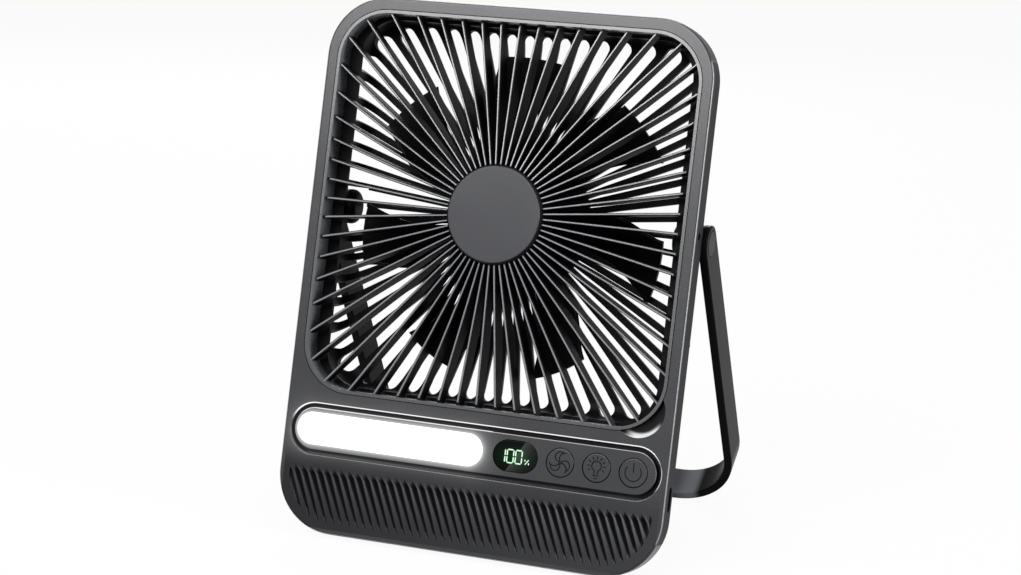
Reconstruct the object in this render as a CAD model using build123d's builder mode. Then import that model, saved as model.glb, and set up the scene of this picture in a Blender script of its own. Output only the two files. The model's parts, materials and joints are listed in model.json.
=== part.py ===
"""Portable fan with a front light, a charge display and a swing-out stand."""
import os
from math import cos, hypot, pi, radians, sin, tan

from build123d import *

os.makedirs("parts", exist_ok=True)

# Pose of the fan on the table, in degrees
lean = 13.0
stand_open = 44.5

# Case outline, in millimetres
body_width = 160.0
body_height = 215.0
body_corner = 24.0
flange_depth = 9.5
edge_round = 1.0
skin = 3.0
wall = 2.4
bay_wall = 2.05

# Square opening for the front guard
bezel_side = 4.25
bezel_top = 4.65
chin_height = 56.15
opening_corner = 20.5
sliding_gap = 0.3
rim_width = 1.2

# Finger notch at the lower right corner of the guard
notch_in = 10.35
notch_up = 8.95
notch_radius = 10.6
notch_depth = 3.5

# Control panel in its pocket
panel_drop = 15.0
pocket_margin = 2.9
pocket_height = 20.2
pocket_round = 0.7
moat_width = 1.75
panel_thickness = 3.0
panel_round = 0.4
floor_thickness = 2.0
floor_lip = 1.5
floor_window_inset = 3.4
lens_gap = 0.15
lens_lip = 0.7
lens_lip_depth = 1.2
lamp_margin = 1.15
lamp_height = 12.6
lamp_gap = 4.5
display_width = 18.3
display_height = 12.2
control_gap = 3.7
button_radius = 5.5
button_lip = 0.9
button_stem_radius = 2.0
button_stem_end = 4.0
button_lip_thickness = 1.0
button_seat_gap = 0.05
button_round = 0.3

# Symbols engraved in the buttons
symbol_line = 0.4
symbol_depth = 0.3
petal_count = 3
petal_start = 80.0
petal_root = 0.4
petal_waist = 0.7
petal_reach = 4.05
petal_bulge = 2.5
bulb_rise = 0.65
bulb_radius = 1.9
bulb_mouth = 44.0
bulb_neck = 1.1
bulb_base_gap = 0.7
bulb_base_pitch = 1.05
bulb_base_width = 2.6
bulb_tip_width = 1.4
ray_middle = 3.2
ray_length = 1.1
ray_count = 9
ray_fan = 240.0
power_ring = 3.2
power_mouth = 98.0
power_bar_length = 3.6
power_bar_rise = 1.95

# Slanted flutes on the lower face
flute_rise = 26.3
flute_length = 24.0
flute_start = 3.0
flute_pitch = 3.36
flute_half_width = 1.5
flute_depth = 1.6
flute_slant = 24.0
flute_margin = 4.5
flute_overshoot = 0.3

# Rear half of the case
plate_inset = 0.9
plate_thickness = 2.0
ledge_side = 6.45
ledge_end = 2.9
ledge_corner = 15.0
rear_depth = 26.4
box_margin = 5.4
box_drop = 1.65
box_lift = 6.5
box_corner = 12.0
box_wall = 2.0
box_round = 2.5

# Front guard ribs
rib_count = 60
rib_thickness = 1.1
rib_crest = 0.35
rib_chamfer = 0.6
hub_radius = 18.9
hub_front = 5.6
hub_cap_thickness = 1.2
hub_plate_thickness = 3.0
rib_front_at_hub = 4.0
rib_front_at_rim = 0.2
rib_back_at_hub = 0.4
rib_back_at_rim = -6.5
rib_back_knee = 45.0
rib_tip_drop = 1.2
rib_tip_angle = 57.0
rib_start = 17.5
rib_overlap = 0.8
hub_plate_radius = 19.4

# Rear basket guard
basket_lap = 3.1
basket_wall = 2.0
basket_round = 9.0
basket_rim = 2.0
basket_plate_radius = 30.0
rear_rib_count = 60
rear_rib_width = 2.6
slot_end_margin = 0.7
field_squareness = 8.0
ear_out = 2.2
ear_inset = 25.1
ear_radius = 2.6
ear_thickness = 2.0
hinge_clearance = 1.2

# Fan rotor
blade_count = 7
blade_phase = 23.8
tip_room = 8.4
blade_middle = -17.8
blade_root_bite = 1.8
blade_overshoot = 2.0
fan_hub_radius = 17.0
fan_hub_front = -7.0
fan_hub_back = -21.5
fan_hub_plate = 2.0
can_radius = 14.2
can_front = -9.0
can_back = -20.5
can_wall = 1.0
magnet_thickness = 1.6
shaft_radius = 1.0
shaft_fit = 0.02
can_boss_radius = 2.4
can_boss_height = 1.6
magnet_length = 9.0
blade_thickness = 1.6
# Share of the way from root to tip, swing, chord and pitch of each blade section
blade_sections = [
    (0.0, 28.0, 9.5, 40.0),
    (0.29, 24.5, 16.0, 33.0),
    (0.59, 21.0, 22.0, 26.0),
    (0.84, 15.0, 25.0, 22.0),
    (1.0, 13.0, 30.5, 20.0),
]

# Motor stator
stator_radius = 11.0
tooth_count = 9
tooth_root = 6.0
tooth_inner = 5.2
tooth_width = 1.6
shoe_thickness = 1.0
shoe_width = 5.0
stator_back = -19.0
stator_length = 6.0
coil_height = 1.0
coil_middle = 8.2
coil_depth = 2.8
coil_width = 3.4
tube_front = -10.4
tube_radius = 4.0
bearing_radius = 3.0
bearing_length = 2.5
motor_base_radius = 14.0
motor_base_thickness = 1.5
motor_screw_circle = 10.5
motor_screw_count = 3

# Swing stand
pivot_drop = 1.85
pivot_z = -19.2
stand_proud = 1.5
stand_width = 14.4
stand_thickness = 3.4
stand_corner = 28.0
stand_edge_round = 0.6
pin_radius = 2.5
pin_fit = 0.05
pin_head_radius = 4.4
pin_head_thickness = 0.8
cap_radius = 5.0
cap_thickness = 0.9
cap_proud = 0.15
cap_recess = 1.6
bush_wall = 1.05
bush_fit = 0.03
washer_thickness = 0.5
washer_inset = 0.4
boss_radius = 7.0
boss_reach = 2.5
boss_blind = 2.2
boss_round = 3.0
web_width = 10.0
pad_margin = 13.5
pad_gap = 0.5
pad_reach = 6.0
pad_inset = 0.6
foot_drop = 0.15
foot_margin = 35.0
foot_length = 26.0
foot_back = 9.1
foot_width = 2.2
foot_inset = 0.8

# Electronics
board_front = 7.4
board_thickness = 1.2
board_half_height = 9.4
board_margin = 5.5
board_split_drop = 1.0
board_split_gap = 1.0
board_post_rise = 8.1
board_post_radius = 1.5
board_post_inset = 5.6
board_post_end = 12.0
chip_size = 2.8
chip_height = 0.8
chip_pitch = 5.3
chip_end = 3.5
switch_size = 6.0
switch_height = 2.4
plunger_radius = 1.7
plunger_height = 0.3
display_gap = 0.3
usb_drop = 8.65
usb_length = 7.4
usb_recess = 0.8
usb_opening_width = 8.34
usb_opening_height = 2.56
usb_shell = 0.3
usb_cut_gap = 0.25
usb_tab_margin = 3.0
usb_tab_length = 11.0
usb_tab_half_height = 5.3
usb_back_wall = 0.6
tongue_thickness = 0.7
tongue_width = 6.7
tongue_length = 5.6
side_hole_radius = 1.5
side_hole_depth = 2.5
side_hole_z = -4.6

# Battery
cell_radius = 9.15
cell_gap = 0.6
cell_end_room = 7.5
cell_lift = 1.25
cell_floor = 1.35
cell_seat_gap = 0.1
tab_thickness = 0.2
tab_width = 8.0
cradle_drop = 1.1
cradle_end = 0.9
cradle_wall = 0.45

# Fasteners
screw_radius = 0.8
screw_fit = 0.05
screw_head_radius = 1.7
screw_head_height = 1.1
board_screw_length = 3.2
case_screw_radius = 1.0
case_screw_head = 1.8
case_screw_length = 6.5
case_hole_gap = 0.15
head_recess = 1.2
top_screw_margin = 35.0
side_screw_rise = 35.35
box_screw_inset = 4.4
box_screw_rise = 15.0
box_post_radius = 3.2
post_hole_gap = 0.3
motor_screw_length = 3.0
ear_screw_length = 3.6

# Derived outline: the opening hangs from the top bezel, the panel from the opening
opening_width = body_width - 2 * bezel_side
opening_height = body_height - bezel_top - chin_height
grille_y = (chin_height - bezel_top) / 2
opening_bottom = grille_y - opening_height / 2
bay_top = opening_bottom - bay_wall
notch_x = opening_width / 2 - notch_in
notch_y = opening_bottom + notch_up
panel_y = opening_bottom - panel_drop
pocket_width = body_width - 2 * pocket_margin
panel_width = pocket_width - 2 * moat_width
panel_height = pocket_height - 2 * moat_width
floor_back = panel_thickness + floor_thickness
window_width = pocket_width - 2 * floor_window_inset
window_height = pocket_height - 2 * floor_window_inset
flute_top = flute_rise - body_height / 2
flute_count = int(body_width / flute_pitch) + 1
bezel_middle_x = (body_width + opening_width) / 4
bezel_middle_y = (body_height - bezel_top) / 2

# Derived controls, from the right end of the panel to the lamp that fills the rest
button_pitch = 2 * button_radius + control_gap
power_x = panel_width / 2 - control_gap - button_radius
button_spots = {
    "button_fan": power_x - 2 * button_pitch,
    "button_light": power_x - button_pitch,
    "button_power": power_x,
}
display_right = button_spots["button_fan"] - button_radius - control_gap
display_x = display_right - display_width / 2
lamp_right = display_right - display_width - lamp_gap
lamp_left = lamp_margin - panel_width / 2
lamp_width = lamp_right - lamp_left
lamp_x = (lamp_left + lamp_right) / 2
chip_count = int((lamp_width - 2 * chip_end) / chip_pitch) + 1
button_lip_front = panel_thickness - lens_lip_depth + button_seat_gap
bulb_bottom = bulb_rise - bulb_radius - bulb_neck
bulb_base = bulb_bottom - bulb_base_gap

# Derived rear half, guards and fan
plate_back = flange_depth + plate_thickness
ledge_width = opening_width - 2 * ledge_side
ledge_height = opening_height - 2 * ledge_end
box_width = body_width - 2 * box_margin
box_top = opening_bottom - box_drop
box_bottom = box_lift - body_height / 2
ring_width = opening_width - 2 * sliding_gap
ring_height = opening_height - 2 * sliding_gap
ring_corner = opening_corner - sliding_gap
rib_reach = hypot(opening_width, opening_height) / 2
rib_fall = (rib_front_at_hub - rib_front_at_rim) / (opening_width / 2 - hub_plate_radius)
rib_span_width = ring_width - 2 * rib_overlap
rib_span_height = ring_height - 2 * rib_overlap
basket_width = ledge_width + 2 * basket_lap
basket_height = ledge_height + 2 * basket_lap
basket_corner = ledge_corner + basket_wall
basket_inner = rear_depth - basket_wall
slot_half_inner = pi * basket_plate_radius / rear_rib_count - rear_rib_width / 2
slot_half_outer = pi * rib_reach / rear_rib_count - rear_rib_width / 2
ear_x = basket_width / 2 + ear_out
ear_rise = basket_height / 2 - ear_inset
blade_tip_radius = min(basket_width, basket_height) / 2 - tip_room
blade_root = fan_hub_radius - blade_root_bite
blade_end = blade_tip_radius + blade_overshoot
motor_base_front = motor_base_thickness - basket_inner

# Derived stand and hinge
pivot_y = grille_y - pivot_drop
arm_outer = body_width / 2 + stand_proud
arm_inner = arm_outer - stand_thickness
boss_outer_x = arm_inner - washer_thickness
boss_inner_x = ledge_width / 2 - boss_reach
bush_radius = pin_radius + pin_fit + bush_wall
pin_seat_x = arm_outer - cap_recess
hinge_gap_inner = boss_inner_x - hinge_clearance
pad_half_length = arm_outer - stand_corner - pad_margin
foot_x = body_width / 2 - foot_margin

# Derived electronics and battery
board_back = board_front + board_thickness
board_left = board_margin - body_width / 2
board_right = body_width / 2 - board_margin
board_split = lamp_right + board_split_drop
main_board_left = board_split + board_split_gap
board_post_spots = [
    board_left + board_post_end,
    board_split - board_post_inset,
    main_board_left + board_post_inset,
    board_right - board_post_end,
]
usb_y = panel_y - usb_drop
usb_z = -(board_front - usb_shell - usb_opening_height / 2)
usb_mouth_x = body_width / 2 - usb_recess
usb_tab_right = body_width / 2 - usb_tab_margin
cell_length = box_width / 2 - box_wall - cell_end_room - cell_gap / 2
cell_y = box_bottom + box_wall + cell_radius + cell_lift
cell_z = box_wall + cell_floor + cell_radius - rear_depth
cradle_front = cell_z - cradle_drop
cradle_half_length = cell_gap / 2 + cell_length + cradle_end
cradle_half_height = cell_radius + cradle_wall

# Derived pose: the case stands on its feet, the stand bar on its pad
lowest_edge = body_height / 2 * cos(radians(lean)) + flange_depth * sin(radians(lean))
face_height = lowest_edge + foot_drop
stand_tilt = radians(stand_open - lean)
pivot_height = face_height + pivot_y * cos(radians(lean)) + pivot_z * sin(radians(lean))
arm_length = (pivot_height - pad_gap - stand_width / 2 * sin(stand_tilt)) / cos(stand_tilt)
front_reach = body_height / 2 * sin(radians(lean))
pivot_back = pivot_y * sin(radians(lean)) - pivot_z * cos(radians(lean))
rear_reach = pivot_back + arm_length * sin(stand_tilt) + stand_width / 2 * cos(stand_tilt)
face_shift = (front_reach - rear_reach) / 2

FACE = Plane(
    origin=(0, face_shift, face_height),
    x_dir=(1, 0, 0),
    z_dir=(0, -cos(radians(lean)), sin(radians(lean))),
)
OUT = Axis(FACE.origin, FACE.z_dir)
TABLE = Plane(origin=(0, 0, 0), x_dir=(1, 0, 0), z_dir=(0, 0, 1))


def at(x, y, z, turn=(0, 0, 0)):
    """Plane at a spot on the face: x to the right, y up the face, z out of it."""
    return Plane(FACE.location * Location((x, y, z), turn))


FAN = at(0, grille_y, 0)
STAND = at(0, pivot_y, pivot_z, (stand_open, 0, 0))
RIGHT = (0, 90, 0)
LEFT = (0, -90, 0)

case_screw_spots = [
    (body_width / 2 - top_screw_margin, bezel_middle_y),
    (top_screw_margin - body_width / 2, bezel_middle_y),
    (bezel_middle_x, opening_bottom + side_screw_rise),
    (-bezel_middle_x, opening_bottom + side_screw_rise),
]
box_screw_spots = [
    (side * (box_width / 2 - box_screw_inset), box_bottom + box_screw_rise) for side in (-1, 1)
]
board_screw_spots = [
    (x, panel_y + side * board_post_rise) for x in board_post_spots for side in (-1, 1)
]
ear_spots = [(sx * ear_x, grille_y + sy * ear_rise) for sx in (-1, 1) for sy in (-1, 1)]
button_places = [(x, panel_y) for x in button_spots.values()]

# Slanted V grooves that start short, are deepest near the top and run out toward the bottom edge
flute_lean = FACE.x_dir * tan(radians(flute_slant)) - FACE.y_dir
flute_way = flute_lean * flute_length + FACE.z_dir * flute_depth
flute_start_way = FACE.z_dir * flute_depth - flute_lean * flute_start
flute_flare = flute_half_width * (1 + flute_overshoot / flute_depth)
with BuildPart() as flutes:
    with BuildSketch(at(0, flute_top - flute_start, 0, (90, 0, 0))) as flute_section:
        with GridLocations(flute_pitch, 1, flute_count, 1):
            Polygon(
                (-flute_flare, flute_overshoot),
                (0, -flute_depth),
                (flute_flare, flute_overshoot),
                align=None,
            )
    extrude(amount=flute_way.length, dir=flute_way.normalized())
    extrude(
        flute_section.sketch, amount=flute_start_way.length, dir=flute_start_way.normalized()
    )
    with BuildSketch(FACE.offset(-flute_depth)):
        RectangleRounded(
            body_width - 2 * flute_margin,
            body_height - 2 * flute_margin,
            body_corner - flute_margin,
        )
    extrude(amount=2 * flute_depth + flute_overshoot, mode=Mode.INTERSECT)



def on_pocket_mouth(edge):
    """True for the edges where the panel pocket opens in the flat of the face."""
    spot = FACE.to_local_coords(edge.center())
    return abs(spot.Z) < pocket_round / 2 and abs(spot.Y - panel_y) < pocket_height / 2 + pocket_round


# Front half of the case
with BuildPart() as front_shell:
    with BuildSketch(FACE):
        RectangleRounded(body_width, body_height, body_corner)
    extrude(amount=-flange_depth)
    fillet(front_shell.faces().sort_by(OUT)[-1].outer_wire().edges(), edge_round)
    with BuildSketch(FACE):
        with Locations((0, grille_y)):
            RectangleRounded(opening_width, opening_height, opening_corner)
    extrude(amount=-flange_depth, mode=Mode.SUBTRACT)
    with BuildSketch(FACE):
        with Locations((notch_x, notch_y)):
            Circle(notch_radius)
    extrude(amount=-notch_depth, mode=Mode.SUBTRACT)
    # Bay for the electronics behind the lower face
    with BuildSketch(FACE.offset(-skin)):
        RectangleRounded(body_width - 2 * wall, body_height - 2 * wall, body_corner - wall)
        with Locations((0, bay_top + body_height / 2)):
            Rectangle(body_width, body_height, mode=Mode.SUBTRACT)
    extrude(amount=skin - flange_depth, mode=Mode.SUBTRACT)
    # Panel pocket with a ledge floor
    with BuildSketch(FACE.offset(-skin)):
        with Locations((0, panel_y)):
            SlotOverall(pocket_width + 2 * floor_lip, pocket_height + 2 * floor_lip)
    extrude(amount=skin - floor_back)
    with BuildSketch(FACE):
        with Locations((0, panel_y)):
            SlotOverall(pocket_width, pocket_height)
    extrude(amount=-panel_thickness, mode=Mode.SUBTRACT)
    fillet([edge for edge in front_shell.edges() if on_pocket_mouth(edge)], pocket_round)
    with BuildSketch(FACE):
        with Locations((0, panel_y)):
            SlotOverall(window_width, window_height)
    extrude(amount=-floor_back, mode=Mode.SUBTRACT)
    # Posts for the boards and for the rear half
    with BuildSketch(FACE.offset(-panel_thickness)):
        with Locations(board_screw_spots):
            Circle(board_post_radius)
    extrude(amount=panel_thickness - board_front)
    with BuildSketch(FACE.offset(-board_front)):
        with Locations(board_screw_spots):
            Circle(screw_radius + screw_fit)
    extrude(amount=board_screw_length, mode=Mode.SUBTRACT)
    with BuildSketch(FACE.offset(-skin)):
        with Locations(box_screw_spots):
            Circle(box_post_radius)
    extrude(amount=skin - flange_depth)
    with BuildSketch(FACE.offset(-flange_depth)):
        with Locations(case_screw_spots + box_screw_spots):
            Circle(case_screw_radius + screw_fit)
    extrude(amount=case_screw_length, mode=Mode.SUBTRACT)
    # Charging socket mouth and the room behind it
    with BuildSketch(at(body_width / 2, usb_y, usb_z, RIGHT)):
        SlotOverall(
            usb_opening_width + 2 * (usb_shell + usb_cut_gap),
            usb_opening_height + 2 * (usb_shell + usb_cut_gap),
            rotation=90,
        )
    extrude(amount=usb_mouth_x - usb_length - body_width / 2 - usb_cut_gap, mode=Mode.SUBTRACT)
    # Strap pin holes in the two sides
    with BuildSketch(at(body_width / 2, grille_y, side_hole_z, RIGHT)):
        Circle(side_hole_radius)
    extrude(amount=-side_hole_depth, mode=Mode.SUBTRACT)
    with BuildSketch(at(-body_width / 2, grille_y, side_hole_z, LEFT)):
        Circle(side_hole_radius)
    extrude(amount=-side_hole_depth, mode=Mode.SUBTRACT)
    # Shallow seats for the two feet
    with BuildSketch(at(0, -body_height / 2, foot_width / 2 - foot_back, (90, 0, 0))):
        with Locations((-foot_x, 0), (foot_x, 0)):
            Rectangle(foot_length, foot_width)
    extrude(amount=-foot_inset, mode=Mode.SUBTRACT)
    add(flutes.part, mode=Mode.SUBTRACT)
front_shell.part.label = "front_shell"
export_step(front_shell.part, "parts/front_shell.step")

# Rubber strips under the case, worn flat to the table
with BuildPart() as base_feet:
    with BuildSketch(at(0, -body_height / 2, foot_width / 2 - foot_back, (90, 0, 0))):
        with Locations((-foot_x, 0), (foot_x, 0)):
            Rectangle(foot_length, foot_width)
    extrude(amount=-foot_inset)
    with BuildSketch(at(0, -body_height / 2, foot_width / 2 - foot_back, (90, 0, 0))):
        with Locations((-foot_x, 0), (foot_x, 0)):
            Rectangle(foot_length, foot_width)
    extrude(amount=2 * foot_width)
    split(bisect_by=TABLE, keep=Keep.TOP)
base_feet.part.label = "base_feet"
export_step(base_feet.part, "parts/base_feet.step")

# Hinge bosses with domed inner ends, each on a short web
with BuildPart() as hinge_bosses:
    with BuildSketch(at(boss_inner_x, pivot_y, pivot_z, RIGHT)):
        Circle(boss_radius)
    extrude(amount=boss_outer_x - boss_inner_x)
    fillet(hinge_bosses.faces().sort_by(Axis.X)[0].edges(), boss_round)
    with BuildSketch(FACE.offset(-flange_depth)):
        with Locations(((ledge_width / 2 + boss_outer_x) / 2, pivot_y)):
            Rectangle(boss_outer_x - ledge_width / 2, web_width)
    extrude(amount=flange_depth + pivot_z)
    mirror(about=Plane.YZ)

# Rear half of the case: ledge plate, battery box and hinge bosses
with BuildPart() as rear_shell:
    with BuildSketch(FACE.offset(-flange_depth)):
        RectangleRounded(
            body_width - 2 * plate_inset, body_height - 2 * plate_inset, body_corner - plate_inset
        )
        with Locations((0, grille_y)):
            RectangleRounded(ledge_width, ledge_height, ledge_corner, mode=Mode.SUBTRACT)
    extrude(amount=-plate_thickness)
    with BuildSketch(FACE.offset(-plate_back)):
        with Locations((0, (box_top + box_bottom) / 2)):
            RectangleRounded(box_width, box_top - box_bottom, box_corner)
    extrude(amount=plate_back - rear_depth)
    fillet(rear_shell.faces().sort_by(OUT)[0].outer_wire().edges(), box_round)
    with BuildSketch(FACE.offset(-flange_depth)):
        with Locations((0, (box_top + box_bottom) / 2)):
            RectangleRounded(
                box_width - 2 * box_wall, box_top - box_bottom - 2 * box_wall, box_corner - box_wall
            )
    extrude(amount=flange_depth - rear_depth + box_wall, mode=Mode.SUBTRACT)
    # Posts for the two long screws
    with BuildSketch(FACE.offset(-flange_depth)):
        with Locations(box_screw_spots):
            Circle(box_post_radius)
    extrude(amount=flange_depth - rear_depth)
    with BuildSketch(FACE.offset(-plate_back)):
        with Locations(box_screw_spots):
            Circle(case_screw_head + post_hole_gap)
    extrude(amount=plate_back - rear_depth, mode=Mode.SUBTRACT)
    with BuildSketch(FACE.offset(-flange_depth)):
        with Locations(case_screw_spots + box_screw_spots):
            Circle(case_screw_radius + case_hole_gap)
    extrude(amount=-plate_thickness, mode=Mode.SUBTRACT)
    with BuildSketch(FACE.offset(-plate_back)):
        with Locations(case_screw_spots):
            Circle(case_screw_head + case_hole_gap)
    extrude(amount=head_recess, mode=Mode.SUBTRACT)
    with BuildSketch(FACE.offset(-flange_depth)):
        with Locations(ear_spots):
            Circle(screw_radius + screw_fit)
    extrude(amount=-plate_thickness, mode=Mode.SUBTRACT)
    # Hinge bosses with blind bores
    add(hinge_bosses.part)
    with BuildSketch(at(boss_outer_x, pivot_y, pivot_z, RIGHT)):
        Circle(bush_radius + bush_fit)
    extrude(amount=boss_inner_x + boss_blind - boss_outer_x, mode=Mode.SUBTRACT)
    with BuildSketch(at(-boss_outer_x, pivot_y, pivot_z, LEFT)):
        Circle(bush_radius + bush_fit)
    extrude(amount=boss_inner_x + boss_blind - boss_outer_x, mode=Mode.SUBTRACT)
rear_shell.part.label = "rear_shell"
export_step(rear_shell.part, "parts/rear_shell.step")

# Slots of the rear guard: wedges between the ribs, each with a round outer end
slot_spread = (slot_half_outer - slot_half_inner) / (rib_reach - basket_plate_radius)
field_half_width = basket_width / 2 + basket_wall
field_half_height = ledge_height / 2 - slot_end_margin
with BuildSketch() as rear_slots:
    for index in range(rear_rib_count):
        turn = (index + 0.5) * 360 / rear_rib_count
        across = abs(cos(radians(turn))) / field_half_width
        up = abs(sin(radians(turn))) / field_half_height
        reach = (across**field_squareness + up**field_squareness) ** (-1 / field_squareness)
        end = (reach - slot_half_inner + slot_spread * basket_plate_radius) / (1 + slot_spread)
        with Locations(Location((0, 0, 0), (0, 0, turn))):
            Polygon(
                (basket_plate_radius, -slot_half_inner),
                (end, end - reach),
                (end, reach - end),
                (basket_plate_radius, slot_half_inner),
                align=None,
            )
            with Locations((end, 0)):
                Circle(reach - end)

# Basket guard behind the blades, with radial slots
with BuildPart() as rear_grille:
    with BuildSketch(FAN.offset(-plate_back)):
        RectangleRounded(basket_width, basket_height, basket_corner)
    extrude(amount=plate_back - rear_depth)
    fillet(rear_grille.faces().sort_by(OUT)[0].outer_wire().edges(), basket_round)
    offset(amount=-basket_wall, openings=rear_grille.faces().sort_by(OUT)[-1])
    with BuildSketch(FAN.offset(-plate_back - basket_rim)):
        add(rear_slots.sketch)
    extrude(amount=plate_back - rear_depth, mode=Mode.SUBTRACT)
    # Room for the hinge bosses
    with BuildSketch(FACE.offset(-plate_back)):
        for side in (-1, 1):
            with Locations((side * (hinge_gap_inner + body_width / 2) / 2, pivot_y)):
                Rectangle(body_width / 2 - hinge_gap_inner, 2 * (boss_radius + hinge_clearance))
    extrude(amount=plate_back - rear_depth, mode=Mode.SUBTRACT)
    # Screw ears on the two sides
    with BuildSketch(FACE.offset(-plate_back)):
        with Locations(ear_spots):
            Circle(ear_radius)
    extrude(amount=-ear_thickness)
    with BuildSketch(FACE.offset(-plate_back)):
        with Locations(ear_spots):
            Circle(screw_radius + case_hole_gap)
    extrude(amount=-ear_thickness, mode=Mode.SUBTRACT)
    # Motor screw holes with sunk heads
    with BuildSketch(FAN.offset(-basket_inner)):
        with PolarLocations(motor_screw_circle, motor_screw_count):
            Circle(screw_radius + case_hole_gap)
    extrude(amount=-basket_wall, mode=Mode.SUBTRACT)
    with BuildSketch(FAN.offset(-rear_depth)):
        with PolarLocations(motor_screw_circle, motor_screw_count):
            Circle(screw_head_radius + case_hole_gap)
    extrude(amount=head_recess, mode=Mode.SUBTRACT)
rear_grille.part.label = "rear_grille"
export_step(rear_grille.part, "parts/rear_grille.step")

# Space filled by the front ribs: their tips slope back to the ring
with BuildPart() as rib_envelope:
    with BuildSketch(FAN.offset(rib_back_at_rim)):
        RectangleRounded(rib_span_width, rib_span_height, ring_corner - rib_overlap)
    extrude(amount=-rib_tip_drop - rib_back_at_rim)
    with BuildSketch(FAN.offset(-rib_tip_drop)):
        RectangleRounded(rib_span_width, rib_span_height, ring_corner - rib_overlap)
    extrude(amount=hub_front + rib_tip_drop, taper=rib_tip_angle)

# One front rib, lying along x: its narrow crest falls and its back deepens from the hub to the rim
rib_root_height = rib_front_at_hub + rib_fall * (hub_plate_radius - rib_start)
with BuildPart() as rib:
    with BuildSketch(Plane((rib_start, 0, rib_root_height), x_dir=(0, 1, 0), z_dir=(1, 0, -rib_fall))):
        Polygon(
            (-rib_thickness / 2, rib_back_at_rim - rib_root_height),
            (rib_thickness / 2, rib_back_at_rim - rib_root_height),
            (rib_thickness / 2, -rib_chamfer),
            (rib_crest / 2, 0),
            (-rib_crest / 2, 0),
            (-rib_thickness / 2, -rib_chamfer),
            align=None,
        )
    extrude(amount=rib_reach - rib_start)
    with BuildSketch(Plane.XZ):
        Polygon(
            (rib_start, rib_back_at_hub),
            (hub_plate_radius, rib_back_at_hub),
            (rib_back_knee, rib_back_at_rim),
            (rib_reach, rib_back_at_rim),
            (rib_reach, hub_front),
            (rib_start, hub_front),
            align=None,
        )
    extrude(amount=rib_thickness, both=True, mode=Mode.INTERSECT)

with BuildPart(FAN) as ribs:
    with PolarLocations(0, rib_count):
        add(rib.part)

# Removable front guard
with BuildPart() as front_grille:
    add(ribs.part)
    add(rib_envelope.part, mode=Mode.INTERSECT)
    with BuildSketch(FAN):
        RectangleRounded(ring_width, ring_height, ring_corner)
        RectangleRounded(
            ring_width - 2 * rim_width,
            ring_height - 2 * rim_width,
            ring_corner - rim_width,
            mode=Mode.SUBTRACT,
        )
    extrude(amount=-flange_depth)
    with BuildSketch(FAN.offset(hub_front - hub_cap_thickness)):
        Circle(hub_plate_radius)
    extrude(amount=-hub_plate_thickness)
front_grille.part.label = "front_grille"
export_step(front_grille.part, "parts/front_grille.step")

# Disc on the middle of the front guard
with BuildPart() as hub_cap:
    with BuildSketch(FAN.offset(hub_front - hub_cap_thickness)):
        Circle(hub_radius)
    extrude(amount=hub_cap_thickness)
    fillet(hub_cap.faces().sort_by(OUT)[-1].edges(), panel_round)
hub_cap.part.label = "hub_cap"
export_step(hub_cap.part, "parts/hub_cap.step")

# One blade, drawn about the fan axis: sections from root to tip
with BuildPart() as blade:
    for share, swing, chord, pitch in blade_sections:
        reach = blade_root + share * (blade_end - blade_root)
        with BuildSketch(
            Plane(
                Location((0, 0, blade_middle), (0, 0, swing))
                * Location((reach, 0, 0), (0, 90, 0))
                * Location((0, 0, 0), (0, 0, pitch))
            )
        ):
            SlotOverall(chord, blade_thickness, rotation=90)
    loft()
    with BuildSketch(Plane.XY.offset(-rear_depth)):
        Circle(blade_tip_radius)
    extrude(amount=rear_depth, mode=Mode.INTERSECT)

# Fan with a cup hub over the motor
with BuildPart(FAN) as fan_impeller:
    with PolarLocations(0, blade_count, start_angle=blade_phase):
        add(blade.part)
    with BuildSketch(FAN.offset(fan_hub_back)):
        Circle(fan_hub_radius)
    extrude(amount=fan_hub_front - fan_hub_back)
    with BuildSketch(FAN.offset(fan_hub_back)):
        Circle(can_radius + shaft_fit)
    extrude(amount=fan_hub_front - fan_hub_plate - fan_hub_back, mode=Mode.SUBTRACT)
    with BuildSketch(FAN.offset(fan_hub_back)):
        Circle(can_boss_radius + shaft_fit)
    extrude(amount=fan_hub_front - fan_hub_back, mode=Mode.SUBTRACT)
fan_impeller.part.label = "fan_impeller"
export_step(fan_impeller.part, "parts/fan_impeller.step")

# Steel cup that carries the magnet and grips the shaft
with BuildPart() as rotor_can:
    with BuildSketch(FAN.offset(can_front)):
        Circle(can_radius)
    extrude(amount=can_back - can_front)
    with BuildSketch(FAN.offset(can_front - can_wall)):
        Circle(can_radius - can_wall)
    extrude(amount=can_back - can_front + can_wall, mode=Mode.SUBTRACT)
    with BuildSketch(FAN.offset(can_front)):
        Circle(can_boss_radius)
    extrude(amount=can_boss_height)
    with BuildSketch(FAN.offset(can_front - can_wall)):
        Circle(shaft_radius + shaft_fit)
    extrude(amount=can_wall + can_boss_height, mode=Mode.SUBTRACT)
rotor_can.part.label = "rotor_can"
export_step(rotor_can.part, "parts/rotor_can.step")

# Ring magnet inside the cup
with BuildPart() as rotor_magnet:
    with BuildSketch(FAN.offset(can_back)):
        Circle(can_radius - can_wall - shaft_fit)
        Circle(can_radius - can_wall - shaft_fit - magnet_thickness, mode=Mode.SUBTRACT)
    extrude(amount=magnet_length)
rotor_magnet.part.label = "rotor_magnet"
export_step(rotor_magnet.part, "parts/rotor_magnet.step")

# Motor shaft
with BuildPart() as motor_shaft:
    with BuildSketch(FAN.offset(motor_base_front)):
        Circle(shaft_radius)
    extrude(amount=can_front + can_boss_height - motor_base_front)
motor_shaft.part.label = "motor_shaft"
export_step(motor_shaft.part, "parts/motor_shaft.step")

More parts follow.
